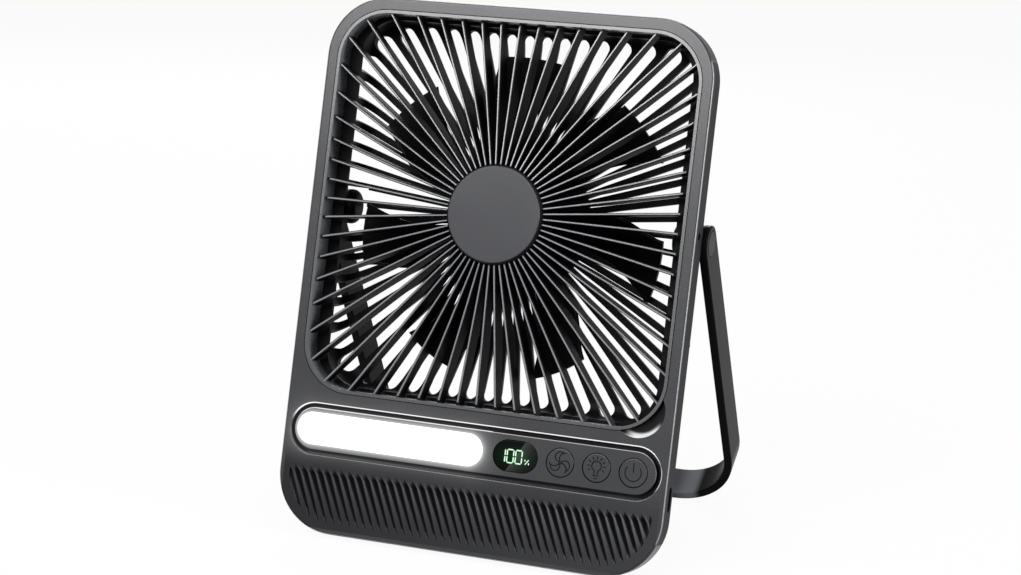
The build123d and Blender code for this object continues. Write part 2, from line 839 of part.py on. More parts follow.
# Motor foot with its bearing tube
with BuildPart() as motor_base:
    with BuildSketch(FAN.offset(-basket_inner)):
        Circle(motor_base_radius)
    extrude(amount=motor_base_thickness)
    with BuildSketch(FAN.offset(motor_base_front)):
        Circle(tube_radius)
    extrude(amount=tube_front - motor_base_front)
    with BuildSketch(FAN.offset(motor_base_front)):
        Circle(bearing_radius + shaft_fit)
    extrude(amount=tube_front - motor_base_front, mode=Mode.SUBTRACT)
    with BuildSketch(FAN.offset(-basket_inner)):
        with PolarLocations(motor_screw_circle, motor_screw_count):
            Circle(screw_radius + screw_fit)
    extrude(amount=motor_base_thickness, mode=Mode.SUBTRACT)
motor_base.part.label = "motor_base"
export_step(motor_base.part, "parts/motor_base.step")

# Two ball bearings at the ends of the tube
with BuildPart() as motor_bearings:
    with BuildSketch(FAN.offset(tube_front - bearing_length)):
        Circle(bearing_radius)
        Circle(shaft_radius + shaft_fit, mode=Mode.SUBTRACT)
    extrude(amount=bearing_length)
    with BuildSketch(FAN.offset(motor_base_front)):
        Circle(bearing_radius)
        Circle(shaft_radius + shaft_fit, mode=Mode.SUBTRACT)
    extrude(amount=bearing_length)
motor_bearings.part.label = "motor_bearings"
export_step(motor_bearings.part, "parts/motor_bearings.step")

# Stator core with wide tooth shoes
with BuildPart() as motor_stator:
    with BuildSketch(FAN.offset(stator_back)):
        Circle(tooth_root)
        with PolarLocations((tooth_inner + stator_radius) / 2, tooth_count):
            Rectangle(stator_radius - tooth_inner, tooth_width)
        with PolarLocations(stator_radius - shoe_thickness / 2, tooth_count):
            Rectangle(shoe_thickness, shoe_width)
        Circle(tube_radius + shaft_fit, mode=Mode.SUBTRACT)
    extrude(amount=stator_length)
motor_stator.part.label = "motor_stator"
export_step(motor_stator.part, "parts/motor_stator.step")

# One coil round each tooth
with BuildPart() as motor_coils:
    with BuildSketch(FAN.offset(stator_back - coil_height)):
        with PolarLocations(coil_middle, tooth_count):
            Rectangle(coil_depth, coil_width)
    extrude(amount=stator_length + 2 * coil_height)
    with BuildSketch(FAN.offset(stator_back - screw_fit)):
        with PolarLocations(coil_middle, tooth_count):
            Rectangle(2 * coil_depth, tooth_width + 2 * screw_fit)
    extrude(amount=stator_length + 2 * screw_fit, mode=Mode.SUBTRACT)
motor_coils.part.label = "motor_coils"
export_step(motor_coils.part, "parts/motor_coils.step")

# Pill-shaped control panel
with BuildPart() as control_panel:
    with BuildSketch(FACE):
        with Locations((0, panel_y)):
            SlotOverall(panel_width, panel_height)
    extrude(amount=-panel_thickness)
    fillet(control_panel.faces().sort_by(OUT)[-1].edges(), panel_round)
    with BuildSketch(FACE):
        with Locations((lamp_x, panel_y)):
            SlotOverall(lamp_width + 2 * lens_gap, lamp_height + 2 * lens_gap)
        with Locations((display_x, panel_y)):
            SlotOverall(display_width + 2 * lens_gap, display_height + 2 * lens_gap)
        with Locations(button_places):
            Circle(button_radius + sliding_gap)
    extrude(amount=-panel_thickness, mode=Mode.SUBTRACT)
    with BuildSketch(FACE.offset(-panel_thickness)):
        with Locations((lamp_x, panel_y)):
            SlotOverall(lamp_width + 2 * (lens_gap + lens_lip), lamp_height + 2 * (lens_gap + lens_lip))
        with Locations((display_x, panel_y)):
            SlotOverall(
                display_width + 2 * (lens_gap + lens_lip), display_height + 2 * (lens_gap + lens_lip)
            )
        with Locations(button_places):
            Circle(button_radius + button_lip + sliding_gap)
    extrude(amount=lens_lip_depth, mode=Mode.SUBTRACT)
control_panel.part.label = "control_panel"
export_step(control_panel.part, "parts/control_panel.step")

# White light diffuser with a lip behind the panel
with BuildPart() as lamp_lens:
    with BuildSketch(FACE):
        with Locations((lamp_x, panel_y)):
            SlotOverall(lamp_width, lamp_height)
    extrude(amount=-panel_thickness)
    fillet(lamp_lens.faces().sort_by(OUT)[-1].edges(), panel_round)
    with BuildSketch(FACE.offset(-panel_thickness)):
        with Locations((lamp_x, panel_y)):
            SlotOverall(lamp_width + 2 * lens_lip, lamp_height + 2 * lens_lip)
    extrude(amount=lens_lip_depth)
lamp_lens.part.label = "lamp_lens"
export_step(lamp_lens.part, "parts/lamp_lens.step")

# Smoked display window
with BuildPart() as display_window:
    with BuildSketch(FACE):
        with Locations((display_x, panel_y)):
            SlotOverall(display_width, display_height)
    extrude(amount=-panel_thickness)
    fillet(display_window.faces().sort_by(OUT)[-1].edges(), panel_round)
    with BuildSketch(FACE.offset(-panel_thickness)):
        with Locations((display_x, panel_y)):
            SlotOverall(display_width + 2 * lens_lip, display_height + 2 * lens_lip)
    extrude(amount=lens_lip_depth)
display_window.part.label = "display_window"
export_step(display_window.part, "parts/display_window.step")

# Display block on the main board
with BuildPart() as display_module:
    with BuildSketch(FACE.offset(-board_front)):
        with Locations((display_x, panel_y)):
            Rectangle(display_width - display_height / 2, display_height - 2 * lens_lip)
    extrude(amount=board_front - panel_thickness - display_gap)
display_module.part.label = "display_module"
export_step(display_module.part, "parts/display_module.step")

# Light board behind the lens
with BuildPart() as led_board:
    with BuildSketch(FACE.offset(-board_front)):
        with Locations(((board_left + board_split) / 2, panel_y)):
            Rectangle(board_split - board_left, 2 * board_half_height)
        with Locations(board_screw_spots):
            Circle(screw_radius + case_hole_gap, mode=Mode.SUBTRACT)
    extrude(amount=-board_thickness)
led_board.part.label = "led_board"
export_step(led_board.part, "parts/led_board.step")

# Row of light chips
with BuildPart() as led_chips:
    with BuildSketch(FACE.offset(-board_front)):
        with Locations((lamp_x, panel_y)):
            with GridLocations(chip_pitch, 1, chip_count, 1):
                Rectangle(chip_size, chip_size)
    extrude(amount=chip_height)
led_chips.part.label = "led_chips"
export_step(led_chips.part, "parts/led_chips.step")

# Main board with a tab under the charging socket
with BuildPart() as main_board:
    with BuildSketch(FACE.offset(-board_front)):
        with Locations(((main_board_left + board_right) / 2, panel_y)):
            Rectangle(board_right - main_board_left, 2 * board_half_height)
        with Locations((usb_tab_right - usb_tab_length / 2, usb_y)):
            Rectangle(usb_tab_length, 2 * usb_tab_half_height)
        with Locations(board_screw_spots):
            Circle(screw_radius + case_hole_gap, mode=Mode.SUBTRACT)
    extrude(amount=-board_thickness)
main_board.part.label = "main_board"
export_step(main_board.part, "parts/main_board.step")

# Tact switches under the buttons
with BuildPart() as tact_switches:
    with BuildSketch(FACE.offset(-board_front)):
        with Locations(button_places):
            Rectangle(switch_size, switch_size)
    extrude(amount=switch_height)
    with BuildSketch(FACE.offset(switch_height - board_front)):
        with Locations(button_places):
            Circle(plunger_radius)
    extrude(amount=plunger_height)
tact_switches.part.label = "tact_switches"
export_step(tact_switches.part, "parts/tact_switches.step")

# Charging socket: steel shell with a tongue
with BuildPart() as usb_socket:
    with BuildSketch(at(usb_mouth_x, usb_y, usb_z, RIGHT)):
        SlotOverall(usb_opening_width + 2 * usb_shell, usb_opening_height + 2 * usb_shell, rotation=90)
    extrude(amount=-usb_length)
    with BuildSketch(at(usb_mouth_x, usb_y, usb_z, RIGHT)):
        SlotOverall(usb_opening_width, usb_opening_height, rotation=90)
    extrude(amount=usb_back_wall - usb_length, mode=Mode.SUBTRACT)
    with BuildSketch(at(usb_mouth_x - usb_length, usb_y, usb_z, RIGHT)):
        Rectangle(tongue_thickness, tongue_width)
    extrude(amount=tongue_length)
usb_socket.part.label = "usb_socket"
export_step(usb_socket.part, "parts/usb_socket.step")

# Two cells end to end
with BuildPart() as battery_cells:
    with BuildSketch(at(cell_gap / 2, cell_y, cell_z, RIGHT)):
        Circle(cell_radius)
    extrude(amount=cell_length)
    mirror(about=Plane.YZ)
battery_cells.part.label = "battery_cells"
export_step(battery_cells.part, "parts/battery_cells.step")

# Nickel tabs between the cells and on their outer ends
with BuildPart() as battery_tabs:
    with BuildSketch(at(cell_gap / 2 + cell_length, cell_y, cell_z, RIGHT)):
        Rectangle(tab_width, tab_width)
    extrude(amount=tab_thickness)
    with BuildSketch(at(0, cell_y, cell_z, RIGHT)):
        Rectangle(tab_width, tab_width)
    extrude(amount=cell_gap / 2)
    mirror(about=Plane.YZ)
battery_tabs.part.label = "battery_tabs"
export_step(battery_tabs.part, "parts/battery_tabs.step")

# Cradle that seats the cells on the rear wall
with BuildPart() as battery_cradle:
    with BuildSketch(FACE.offset(cradle_front)):
        with Locations((0, cell_y)):
            Rectangle(2 * cradle_half_length, 2 * cradle_half_height)
    extrude(amount=box_wall - rear_depth - cradle_front)
    with BuildSketch(at(-cradle_half_length, cell_y, cell_z, RIGHT)):
        Circle(cell_radius + cell_seat_gap)
    extrude(amount=2 * cradle_half_length, mode=Mode.SUBTRACT)
battery_cradle.part.label = "battery_cradle"
export_step(battery_cradle.part, "parts/battery_cradle.step")

# Push button blank: cap, lip and stem, drawn about its own axis
with BuildPart() as button_blank:
    with BuildSketch(Plane.XY.offset(-button_lip_front)):
        Circle(button_radius)
    extrude(amount=button_lip_front)
    fillet(button_blank.faces().sort_by(Axis.Z)[-1].edges(), button_round)
    with BuildSketch(Plane.XY.offset(-button_lip_front)):
        Circle(button_radius + button_lip)
    extrude(amount=-button_lip_thickness)
    with BuildSketch(Plane.XY.offset(-button_lip_front)):
        Circle(button_stem_radius)
    extrude(amount=button_lip_front - button_stem_end)

# Outline of one fan petal, drawn about the button's axis
with BuildSketch() as petal:
    with BuildLine():
        ThreePointArc(
            (petal_root, 0), (petal_reach / 2, petal_bulge), (petal_reach, petal_bulge / 2)
        )
        Line((petal_reach, petal_bulge / 2), (petal_reach, -petal_bulge / 3))
        ThreePointArc(
            (petal_reach, -petal_bulge / 3), (petal_reach / 2, petal_waist), (petal_root, 0)
        )
    trace(line_width=symbol_line)

# Fan button with engraved petals
with BuildPart(at(button_spots["button_fan"], panel_y, 0)) as button_fan:
    add(button_blank.part)
    with BuildSketch(at(button_spots["button_fan"], panel_y, 0)):
        with PolarLocations(0, petal_count, start_angle=petal_start):
            add(petal.sketch)
    extrude(amount=-symbol_depth, mode=Mode.SUBTRACT)
button_fan.part.label = "button_fan"
export_step(button_fan.part, "parts/button_fan.step")

# Light button with an engraved bulb and rays
with BuildPart(at(button_spots["button_light"], panel_y, 0)) as button_light:
    add(button_blank.part)
    with BuildSketch(at(button_spots["button_light"], panel_y, 0)):
        with BuildLine():
            CenterArc((0, bulb_rise), bulb_radius, bulb_mouth / 2 - 90, 360 - bulb_mouth)
        trace(line_width=symbol_line)
        for side in (-1, 1):
            with Locations((side * bulb_radius * sin(radians(bulb_mouth / 2)), bulb_bottom + bulb_neck / 2)):
                Rectangle(symbol_line, bulb_neck + symbol_line)
        with Locations((0, bulb_base)):
            Rectangle(bulb_base_width, symbol_line)
        with Locations((0, bulb_base - bulb_base_pitch)):
            Rectangle(bulb_tip_width, symbol_line)
        with Locations((0, bulb_rise)):
            with PolarLocations(ray_middle, ray_count, 90 - ray_fan / 2, ray_fan, endpoint=True):
                Rectangle(ray_length, symbol_line)
    extrude(amount=-symbol_depth, mode=Mode.SUBTRACT)
button_light.part.label = "button_light"
export_step(button_light.part, "parts/button_light.step")

# Power button with an engraved ring and bar
with BuildPart(at(button_spots["button_power"], panel_y, 0)) as button_power:
    add(button_blank.part)
    with BuildSketch(at(button_spots["button_power"], panel_y, 0)):
        with BuildLine():
            CenterArc((0, 0), power_ring, 90 + power_mouth / 2, 360 - power_mouth)
        trace(line_width=symbol_line)
        with Locations((0, power_bar_rise)):
            Rectangle(symbol_line, power_bar_length)
    extrude(amount=-symbol_depth, mode=Mode.SUBTRACT)
button_power.part.label = "button_power"
export_step(button_power.part, "parts/button_power.step")

# U-shaped stand with round arm ends
with BuildPart() as stand_frame:
    with BuildSketch(STAND):
        RectangleRounded(2 * arm_outer, 2 * arm_length, stand_corner)
        RectangleRounded(
            2 * arm_inner,
            2 * (arm_length - stand_thickness),
            stand_corner - stand_thickness,
            mode=Mode.SUBTRACT,
        )
        with Locations((0, arm_length)):
            Rectangle(4 * arm_outer, 2 * arm_length, mode=Mode.SUBTRACT)
    extrude(amount=stand_width / 2, both=True)
    with BuildSketch(at(arm_inner, pivot_y, pivot_z, RIGHT)):
        Circle(stand_width / 2)
    extrude(amount=stand_thickness)
    with BuildSketch(at(-arm_inner, pivot_y, pivot_z, LEFT)):
        Circle(stand_width / 2)
    extrude(amount=stand_thickness)
    long_edges = [edge for edge in stand_frame.edges() if edge.length > stand_thickness]
    fillet(long_edges, stand_edge_round)
    with BuildSketch(at(arm_outer, pivot_y, pivot_z, RIGHT)):
        Circle(cap_radius + case_hole_gap)
    extrude(amount=-cap_recess, mode=Mode.SUBTRACT)
    with BuildSketch(at(-arm_outer, pivot_y, pivot_z, LEFT)):
        Circle(cap_radius + case_hole_gap)
    extrude(amount=-cap_recess, mode=Mode.SUBTRACT)
    with BuildSketch(at(-arm_outer, pivot_y, pivot_z, RIGHT)):
        Circle(pin_radius + pin_fit)
    extrude(amount=2 * arm_outer, mode=Mode.SUBTRACT)
stand_frame.part.label = "stand_frame"
export_step(stand_frame.part, "parts/stand_frame.step")

# Rubber wedge under the bar, flat on the table
with BuildPart() as stand_pad:
    with BuildSketch(STAND.offset(stand_width / 2 - stand_edge_round - pad_inset - pad_reach)):
        with Locations((0, -arm_length - pad_reach / 2)):
            Rectangle(2 * pad_half_length, pad_reach)
    extrude(amount=pad_reach)
    split(bisect_by=TABLE, keep=Keep.TOP)
stand_pad.part.label = "stand_pad"
export_step(stand_pad.part, "parts/stand_pad.step")

# Headed hinge pins, fixed in the arms
with BuildPart() as hinge_pins:
    with BuildSketch(at(boss_inner_x + boss_blind + sliding_gap, pivot_y, pivot_z, RIGHT)):
        Circle(pin_radius)
    extrude(amount=pin_seat_x - boss_inner_x - boss_blind - sliding_gap)
    with BuildSketch(at(pin_seat_x, pivot_y, pivot_z, RIGHT)):
        Circle(pin_head_radius)
    extrude(amount=pin_head_thickness)
    mirror(about=Plane.YZ)
hinge_pins.part.label = "hinge_pins"
export_step(hinge_pins.part, "parts/hinge_pins.step")

# Round covers over the pin heads
with BuildPart() as pivot_caps:
    with BuildSketch(at(arm_outer + cap_proud - cap_thickness, pivot_y, pivot_z, RIGHT)):
        Circle(cap_radius)
    extrude(amount=cap_thickness)
    fillet(pivot_caps.faces().sort_by(Axis.X)[-1].edges(), panel_round)
    mirror(about=Plane.YZ)
pivot_caps.part.label = "pivot_caps"
export_step(pivot_caps.part, "parts/pivot_caps.step")

# Brass bushes in the hinge bosses
with BuildPart() as hinge_bushes:
    with BuildSketch(at(boss_outer_x, pivot_y, pivot_z, RIGHT)):
        Circle(bush_radius)
        Circle(pin_radius + pin_fit, mode=Mode.SUBTRACT)
    extrude(amount=boss_inner_x + boss_blind - boss_outer_x)
    mirror(about=Plane.YZ)
hinge_bushes.part.label = "hinge_bushes"
export_step(hinge_bushes.part, "parts/hinge_bushes.step")

# Friction washers between the bosses and the arms
with BuildPart() as hinge_washers:
    with BuildSketch(at(boss_outer_x, pivot_y, pivot_z, RIGHT)):
        Circle(boss_radius - washer_inset)
        Circle(pin_radius + pin_fit, mode=Mode.SUBTRACT)
    extrude(amount=washer_thickness)
    mirror(about=Plane.YZ)
hinge_washers.part.label = "hinge_washers"
export_step(hinge_washers.part, "parts/hinge_washers.step")

# Screws that join the two halves of the case
with BuildPart() as case_screws:
    with BuildSketch(FACE.offset(head_recess - plate_back)):
        with Locations(case_screw_spots):
            Circle(case_screw_head)
    extrude(amount=-screw_head_height)
    with BuildSketch(FACE.offset(head_recess - plate_back)):
        with Locations(case_screw_spots):
            Circle(case_screw_radius)
    extrude(amount=case_screw_length)
    with BuildSketch(FACE.offset(-plate_back)):
        with Locations(box_screw_spots):
            Circle(case_screw_head)
    extrude(amount=-screw_head_height)
    with BuildSketch(FACE.offset(-plate_back)):
        with Locations(box_screw_spots):
            Circle(case_screw_radius)
    extrude(amount=case_screw_length)
case_screws.part.label = "case_screws"
export_step(case_screws.part, "parts/case_screws.step")

# Screws that hold the boards
with BuildPart() as board_screws:
    with BuildSketch(FACE.offset(-board_back)):
        with Locations(board_screw_spots):
            Circle(screw_head_radius)
    extrude(amount=-screw_head_height)
    with BuildSketch(FACE.offset(-board_back)):
        with Locations(board_screw_spots):
            Circle(screw_radius)
    extrude(amount=board_screw_length)
board_screws.part.label = "board_screws"
export_step(board_screws.part, "parts/board_screws.step")

# Screws that hold the rear guard to the ledge plate
with BuildPart() as grille_screws:
    with BuildSketch(FACE.offset(-plate_back - ear_thickness)):
        with Locations(ear_spots):
            Circle(screw_head_radius)
    extrude(amount=-screw_head_height)
    with BuildSketch(FACE.offset(-plate_back - ear_thickness)):
        with Locations(ear_spots):
            Circle(screw_radius)
    extrude(amount=ear_screw_length)
grille_screws.part.label = "grille_screws"
export_step(grille_screws.part, "parts/grille_screws.step")

# Screws that hold the motor to the rear guard
with BuildPart() as motor_screws:
    with BuildSketch(FAN.offset(head_recess - rear_depth)):
        with PolarLocations(motor_screw_circle, motor_screw_count):
            Circle(screw_head_radius)
    extrude(amount=-screw_head_height)
    with BuildSketch(FAN.offset(head_recess - rear_depth)):
        with PolarLocations(motor_screw_circle, motor_screw_count):
            Circle(screw_radius)
    extrude(amount=motor_screw_length)
motor_screws.part.label = "motor_screws"
export_step(motor_screws.part, "parts/motor_screws.step")
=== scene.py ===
import json
import math
from typing import NamedTuple

import bpy
import numpy as np
from bpy.props import FloatProperty, FloatVectorProperty, PointerProperty
from mathutils import Matrix, Vector


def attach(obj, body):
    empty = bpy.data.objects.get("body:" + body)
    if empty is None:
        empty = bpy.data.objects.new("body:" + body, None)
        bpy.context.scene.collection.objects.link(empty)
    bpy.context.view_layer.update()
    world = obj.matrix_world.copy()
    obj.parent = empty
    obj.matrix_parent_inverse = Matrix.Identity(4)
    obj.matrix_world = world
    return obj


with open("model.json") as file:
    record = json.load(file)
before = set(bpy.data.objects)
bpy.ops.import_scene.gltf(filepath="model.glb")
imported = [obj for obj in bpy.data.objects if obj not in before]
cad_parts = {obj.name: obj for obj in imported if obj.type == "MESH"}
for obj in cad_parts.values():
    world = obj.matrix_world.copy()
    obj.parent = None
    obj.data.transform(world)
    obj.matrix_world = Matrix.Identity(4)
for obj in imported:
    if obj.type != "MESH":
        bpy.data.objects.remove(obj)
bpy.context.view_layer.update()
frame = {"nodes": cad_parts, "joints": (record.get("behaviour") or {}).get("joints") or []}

bl_info = {
    "name": "Portable fan looks",
    "version": (1, 0, 0),
    "blender": (4, 5, 0),
    "location": "3D View > Sidebar > Fan",
    "description": "Materials, lit display and studio for the portable fan",
    "category": "Object",
}

MILLIMETRE = 0.001
FLAT_DEPTH = 0.05
BLACK = (0, 0, 0, 1)
WHITE = (1, 1, 1, 1)


class Extent(NamedTuple):
    """Sides and height of a flat on the front face, in millimetres."""

    left: float
    right: float
    bottom: float
    top: float
    front: float

    @property
    def middle(self):
        """The flat's middle, across and up."""
        return np.array([(self.left + self.right) / 2, (self.bottom + self.top) / 2])


def joint_axis(name):
    """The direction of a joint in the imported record, as a unit vector."""
    joint = next(joint for joint in frame["joints"] if joint["name"] == name)
    return Vector(joint["axis"]).normalized()


def node_points(node):
    """Every vertex of a CAD node, in metres, as an array of three columns."""
    mesh = frame["nodes"][node].data
    points = np.empty(len(mesh.vertices) * 3, np.float32)
    mesh.vertices.foreach_get("co", points)
    return points.reshape(-1, 3).astype(float)


# The case's front face: the guard lifts straight out of it, and the shell gives its middle
FACE_OUT = joint_axis("grille_lift")
FACE_RIGHT = Vector((1, 0, 0))
FACE_UP = FACE_OUT.cross(FACE_RIGHT)
FACE_AXES = np.array([FACE_RIGHT, FACE_UP, FACE_OUT])
SHELL_PLACES = node_points("front_shell") @ FACE_AXES.T
SHELL_LOW = SHELL_PLACES.min(0)
SHELL_HIGH = SHELL_PLACES.max(0)
FACE_CENTRE = Vector((
    (SHELL_LOW[0] + SHELL_HIGH[0]) / 2,
    (SHELL_LOW[1] + SHELL_HIGH[1]) / 2,
    SHELL_HIGH[2],
))
FACE_HALF = (SHELL_HIGH[:2] - SHELL_LOW[:2]) / 2 / MILLIMETRE
CASE_CORNER = 24.0


def face_places(node):
    """A CAD node's vertices as millimetres across, up and out of the front face."""
    return (node_points(node) @ FACE_AXES.T - np.array(FACE_CENTRE)) / MILLIMETRE


def front_extent(node):
    """The extent of the foremost flat of a CAD node."""
    places = face_places(node)
    height = places[:, 2].max()
    front = places[places[:, 2] > height - FLAT_DEPTH]
    return Extent(front[:, 0].min(), front[:, 0].max(), front[:, 1].min(), front[:, 1].max(), height)


def to_world(places):
    """Turns millimetres across, up and out of the front face into metres in the frame."""
    return (np.asarray(places, float) * MILLIMETRE + np.array(FACE_CENTRE)) @ FACE_AXES


LAMP = front_extent("lamp_lens")
WINDOW = front_extent("display_window")
PANEL = front_extent("control_panel")
HUB = front_extent("hub_cap")
HUB_RADIUS = (HUB.right - HUB.left) / 2

# The guard's ring, and how its rib crests fall from the hub to the ring
GUARD_PLACES = face_places("front_grille")[:, :2]
RING_MIDDLE = (GUARD_PLACES.min(0) + GUARD_PLACES.max(0)) / 2
RING_HALF = (GUARD_PLACES.max(0) - GUARD_PLACES.min(0)) / 2
RING_CORNER = 20.2
RING_WALL = 1.2
CREST_AT_HUB = 4.0
CREST_FALL = CREST_AT_HUB / (RING_HALF[0] - HUB_RADIUS)

# The outside of the rear guard's back
BASKET_BACK = face_places("rear_grille")[:, 2].min()

# The finger notch at the guard's lower right corner, and the way in which its painted rim highlight is
# strongest
NOTCH_IN = 10.05
NOTCH_UP = 8.65
NOTCH_MIDDLE = (RING_MIDDLE[0] + RING_HALF[0] - NOTCH_IN, RING_MIDDLE[1] - RING_HALF[1] + NOTCH_UP)
NOTCH_RADIUS = 10.6
NOTCH_LIT = (0.3, -0.95)

# The flutes on the lower face: they reach up to FLUTE_TOP, are deepest a short ramp below it, and the
# painted shade in them narrows downward by a share of the pitch
FLUTE_MARGIN = 4.5
FLUTE_PITCH = 3.36
FLUTE_LENGTH = 21.0
FLUTE_REACH = 26.3
FLUTE_RAMP = 3.0
FLUTE_TOP = FLUTE_REACH - FACE_HALF[1]
FLUTE_DEEPEST = FLUTE_TOP - FLUTE_RAMP
FLUTE_LEAN = math.tan(math.radians(24.0))
FLUTE_NARROWING = 0.22

# Ranges in millimetres over which a look goes from 0 to 1, or, with four numbers, to 1 and back to 0
# All of them but LENS_RIM shape painted shade and painted light
EDGE_BAND = (1.6, 2.2)
EDGE_DEPTH = (-0.75, -0.5, -0.2, -0.08)
SIDE_DEPTH = (-0.6, -1.0)
LIP_REACH = (3.5, 3.1)
LIP_DEPTH = (-0.9, -0.7, -0.1, -0.01)
LIP_UPPER = (2.0, PANEL.top - PANEL.middle[1])
LIP_END = (PANEL.right - 1.0, PANEL.right + 1.0)
LIP_END_DROP = 1.0
LIP_END_HEIGHT = (6.0, 3.0)
NOTCH_RIM = (NOTCH_RADIUS - 2.5, NOTCH_RADIUS - 1.0, NOTCH_RADIUS + 0.2, NOTCH_RADIUS + 0.4)
NOTCH_DEPTH = (-0.1, -0.4)
POCKET_DEPTH = (-0.7, -1.2)
CHIN_HEIGHT = (PANEL.bottom - 1.0, PANEL.bottom - 2.5)
FOOT_HEIGHT = (PANEL.bottom + 2.0, PANEL.bottom - 8.0)
FLUTE_INSIDE = (0.0, 2.5)
BUTTON_DEPTH = (0.05, 0.2)
BUTTON_FIELD = (WINDOW.left - 2.0, WINDOW.left - 1.0)
LEDGE_INSIDE = (-0.5, 0.0)
BASKET_DEPTH = (BASKET_BACK + 0.2, BASKET_BACK + 1.2)
RIB_DEPTH = (0.03, 0.2)
RIB_FIELD = (RING_WALL + 0.05, RING_WALL + 0.25)
HUB_GAP = (1.4, 1.0)
RING_INSIDE = (RING_WALL - 0.1, RING_WALL + 0.2)
RING_INNER = (RING_WALL - 0.8, RING_WALL - 0.5)
RING_DEPTH = (-0.05, -0.4)
UPPER_RIBS = (HUB.middle[1] - 10.0, HUB.middle[1] + 40.0)
STAND_FOOT = (66.0, 62.0)
STAND_FOOT_ENDS = (53.0, 60.0)
LENS_RIM = (0.1, -0.8)
PAINTED_SHEEN_EDGE = (0.0, 0.25)

# The same in shares of a flute's length or pitch, and for NOTCH_TURN the cosine of the angle from NOTCH_LIT
FLUTE_ENDS = (0.0, 0.12, 0.9, 1.08)
FLUTE_DARK = (0.49, 0.31)
RIDGE_LIGHT = (0.3, 0.46)
RIDGE_RUN = (1.0, 0.2)
NOTCH_TURN = (0.6, 0.95)

# How strong the painted shade, painted highlights, painted glow and the lens's rim are, and how much some
# change over the piece
LIP_END_SHARE = 0.6
NOTCH_HIGHLIGHT_GLOW = 0.75
HALO_NEAR_SHARE = 0.6
HALO_FAR_SHARE = 0.17
POCKET_SHARE = 0.85
FOOT_SHARE = 0.45
FOOT_SLOPE = 0.2
RIDGE_SHARE = 0.3
CREST_SHARE = 0.75
UPPER_CREST_LOSS = 0.45
LENS_RIM_SHARE = 0.65

# Millimetres over which the painted lamp halo, the painted digit glow and the painted reflection fade, and
# its slant
HALO_NEAR = 0.9
HALO_FAR = 3.2
DIGIT_GLOW_HALF = (5.2, 3.0)
PAINTED_SHEEN_LENGTH = 3.0
PAINTED_SHEEN_ACROSS = (0.86, -0.51)

# Finishes that several materials share: the light colour of painted light, the clouding, and the dull finish
# of painted shade
PAINTED_LIGHT_COLOUR = (0.138, 0.143, 0.154, 1.0)
CLOUD_SIZE = 0.025
SHADE_ROUGHNESS = 0.42
SHADE_SPECULAR = 0.035

# The studio: the floor's two greys and the size of their clouds, and the camera's sensor
FLOOR_GREYS = ((0.46, 0.46, 0.46, 1), (0.48, 0.48, 0.48, 1))
FLOOR_CLOUD = 0.3
SENSOR_WIDTH = 36.0

# Each softbox: where it stands, the height it is aimed at over the middle, and its width and height
SOFTBOXES = {
    "key": ((-0.39, -1.345, 1.08), 0.12, (1.2, 0.85)),
    "fill": ((1.3, -0.35, 0.42), 0.10, (0.5, 0.7)),
    "back": ((-0.7, 1.3, 0.8), 0.10, (1.0, 0.8)),
    "top": ((0.1, -0.1, 1.4), 0.10, (0.7, 0.7)),
}


class FanFinish(bpy.types.PropertyGroup):
    """Colours and gloss of the fan's finishes."""

    case_colour: FloatVectorProperty(
        name="Case", description="Charcoal of the moulded case",
        subtype="COLOR", size=3, min=0, max=1, default=(0.0123, 0.0128, 0.0148))
    case_roughness: FloatProperty(
        name="Case roughness", description="How dull the satin case is",
        subtype="FACTOR", min=0, max=1, default=0.27)
    # Painted shade: this black takes the case colour's place in deep places and down the ribs' sides
    painted_shade_colour: FloatVectorProperty(
        name="Guards", description="Black of the guards' ribs and of deep places",
        subtype="COLOR", size=3, min=0, max=1, default=(0.004, 0.004, 0.0045))
    blade_colour: FloatVectorProperty(
        name="Blades", description="Black of the fan blades",
        subtype="COLOR", size=3, min=0, max=1, default=(0.003, 0.003, 0.0035))
    hub_colour: FloatVectorProperty(
        name="Hub cap", description="Charcoal of the round hub cap",
        subtype="COLOR", size=3, min=0, max=1, default=(0.011, 0.0115, 0.0148))
    stand_colour: FloatVectorProperty(
        name="Stand", description="Black of the swing stand",
        subtype="COLOR", size=3, min=0, max=1, default=(0.004, 0.004, 0.0045))
    lamp_colour: FloatVectorProperty(
        name="Lamp", description="Colour of the lit lens",
        subtype="COLOR", size=3, min=0, max=1, default=(1.0, 1.0, 1.0))
    lamp_strength: FloatProperty(
        name="Lamp strength", description="Light that the lens gives off",
        min=0, default=1.04)
    digit_colour: FloatVectorProperty(
        name="Digits", description="Colour of the lit display segments",
        subtype="COLOR", size=3, min=0, max=1, default=(0.70, 1.0, 0.72))
    digit_strength: FloatProperty(
        name="Digit strength", description="Light that the segments give off",
        min=0, default=1.0)


class FanDisplay(bpy.types.PropertyGroup):
    """Sizes of the lit segments in the display window, in millimetres."""

    digit_height: FloatProperty(
        name="Digit height", description="Height of a digit", min=0, default=5.1)
    digit_width: FloatProperty(
        name="Digit width", description="Width of a digit", min=0, default=2.6)
    digit_pitch: FloatProperty(
        name="Digit pitch", description="From one round digit to the next", min=0, default=3.45)
    segment_width: FloatProperty(
        name="Segment width", description="Thickness of a lit segment", min=0, default=0.52)
    segment_gap: FloatProperty(
        name="Segment gap", description="Dark space at each end of a segment", min=0, default=0.16)
    segment_height: FloatProperty(
        name="Segment height", description="From the back of a segment to its crest", min=0, default=0.06)
    segment_sink: FloatProperty(
        name="Segment sink", description="How deep a segment sits in the window", min=0, default=0.01)
    digits_across: FloatProperty(
        name="Digits across", description="First round digit, from the window's middle", default=-2.0)
    digits_up: FloatProperty(
        name="Digits up", description="Middle of the digits, from the window's middle", default=-0.15)
    percent_across: FloatProperty(
        name="Percent across", description="Percent sign, from the window's middle", default=4.95)
    percent_height: FloatProperty(
        name="Percent height", description="Height of the percent sign", min=0, default=2.0)
    percent_width: FloatProperty(
        name="Percent width", description="Thickness of the percent sign's strokes", min=0, default=0.416)


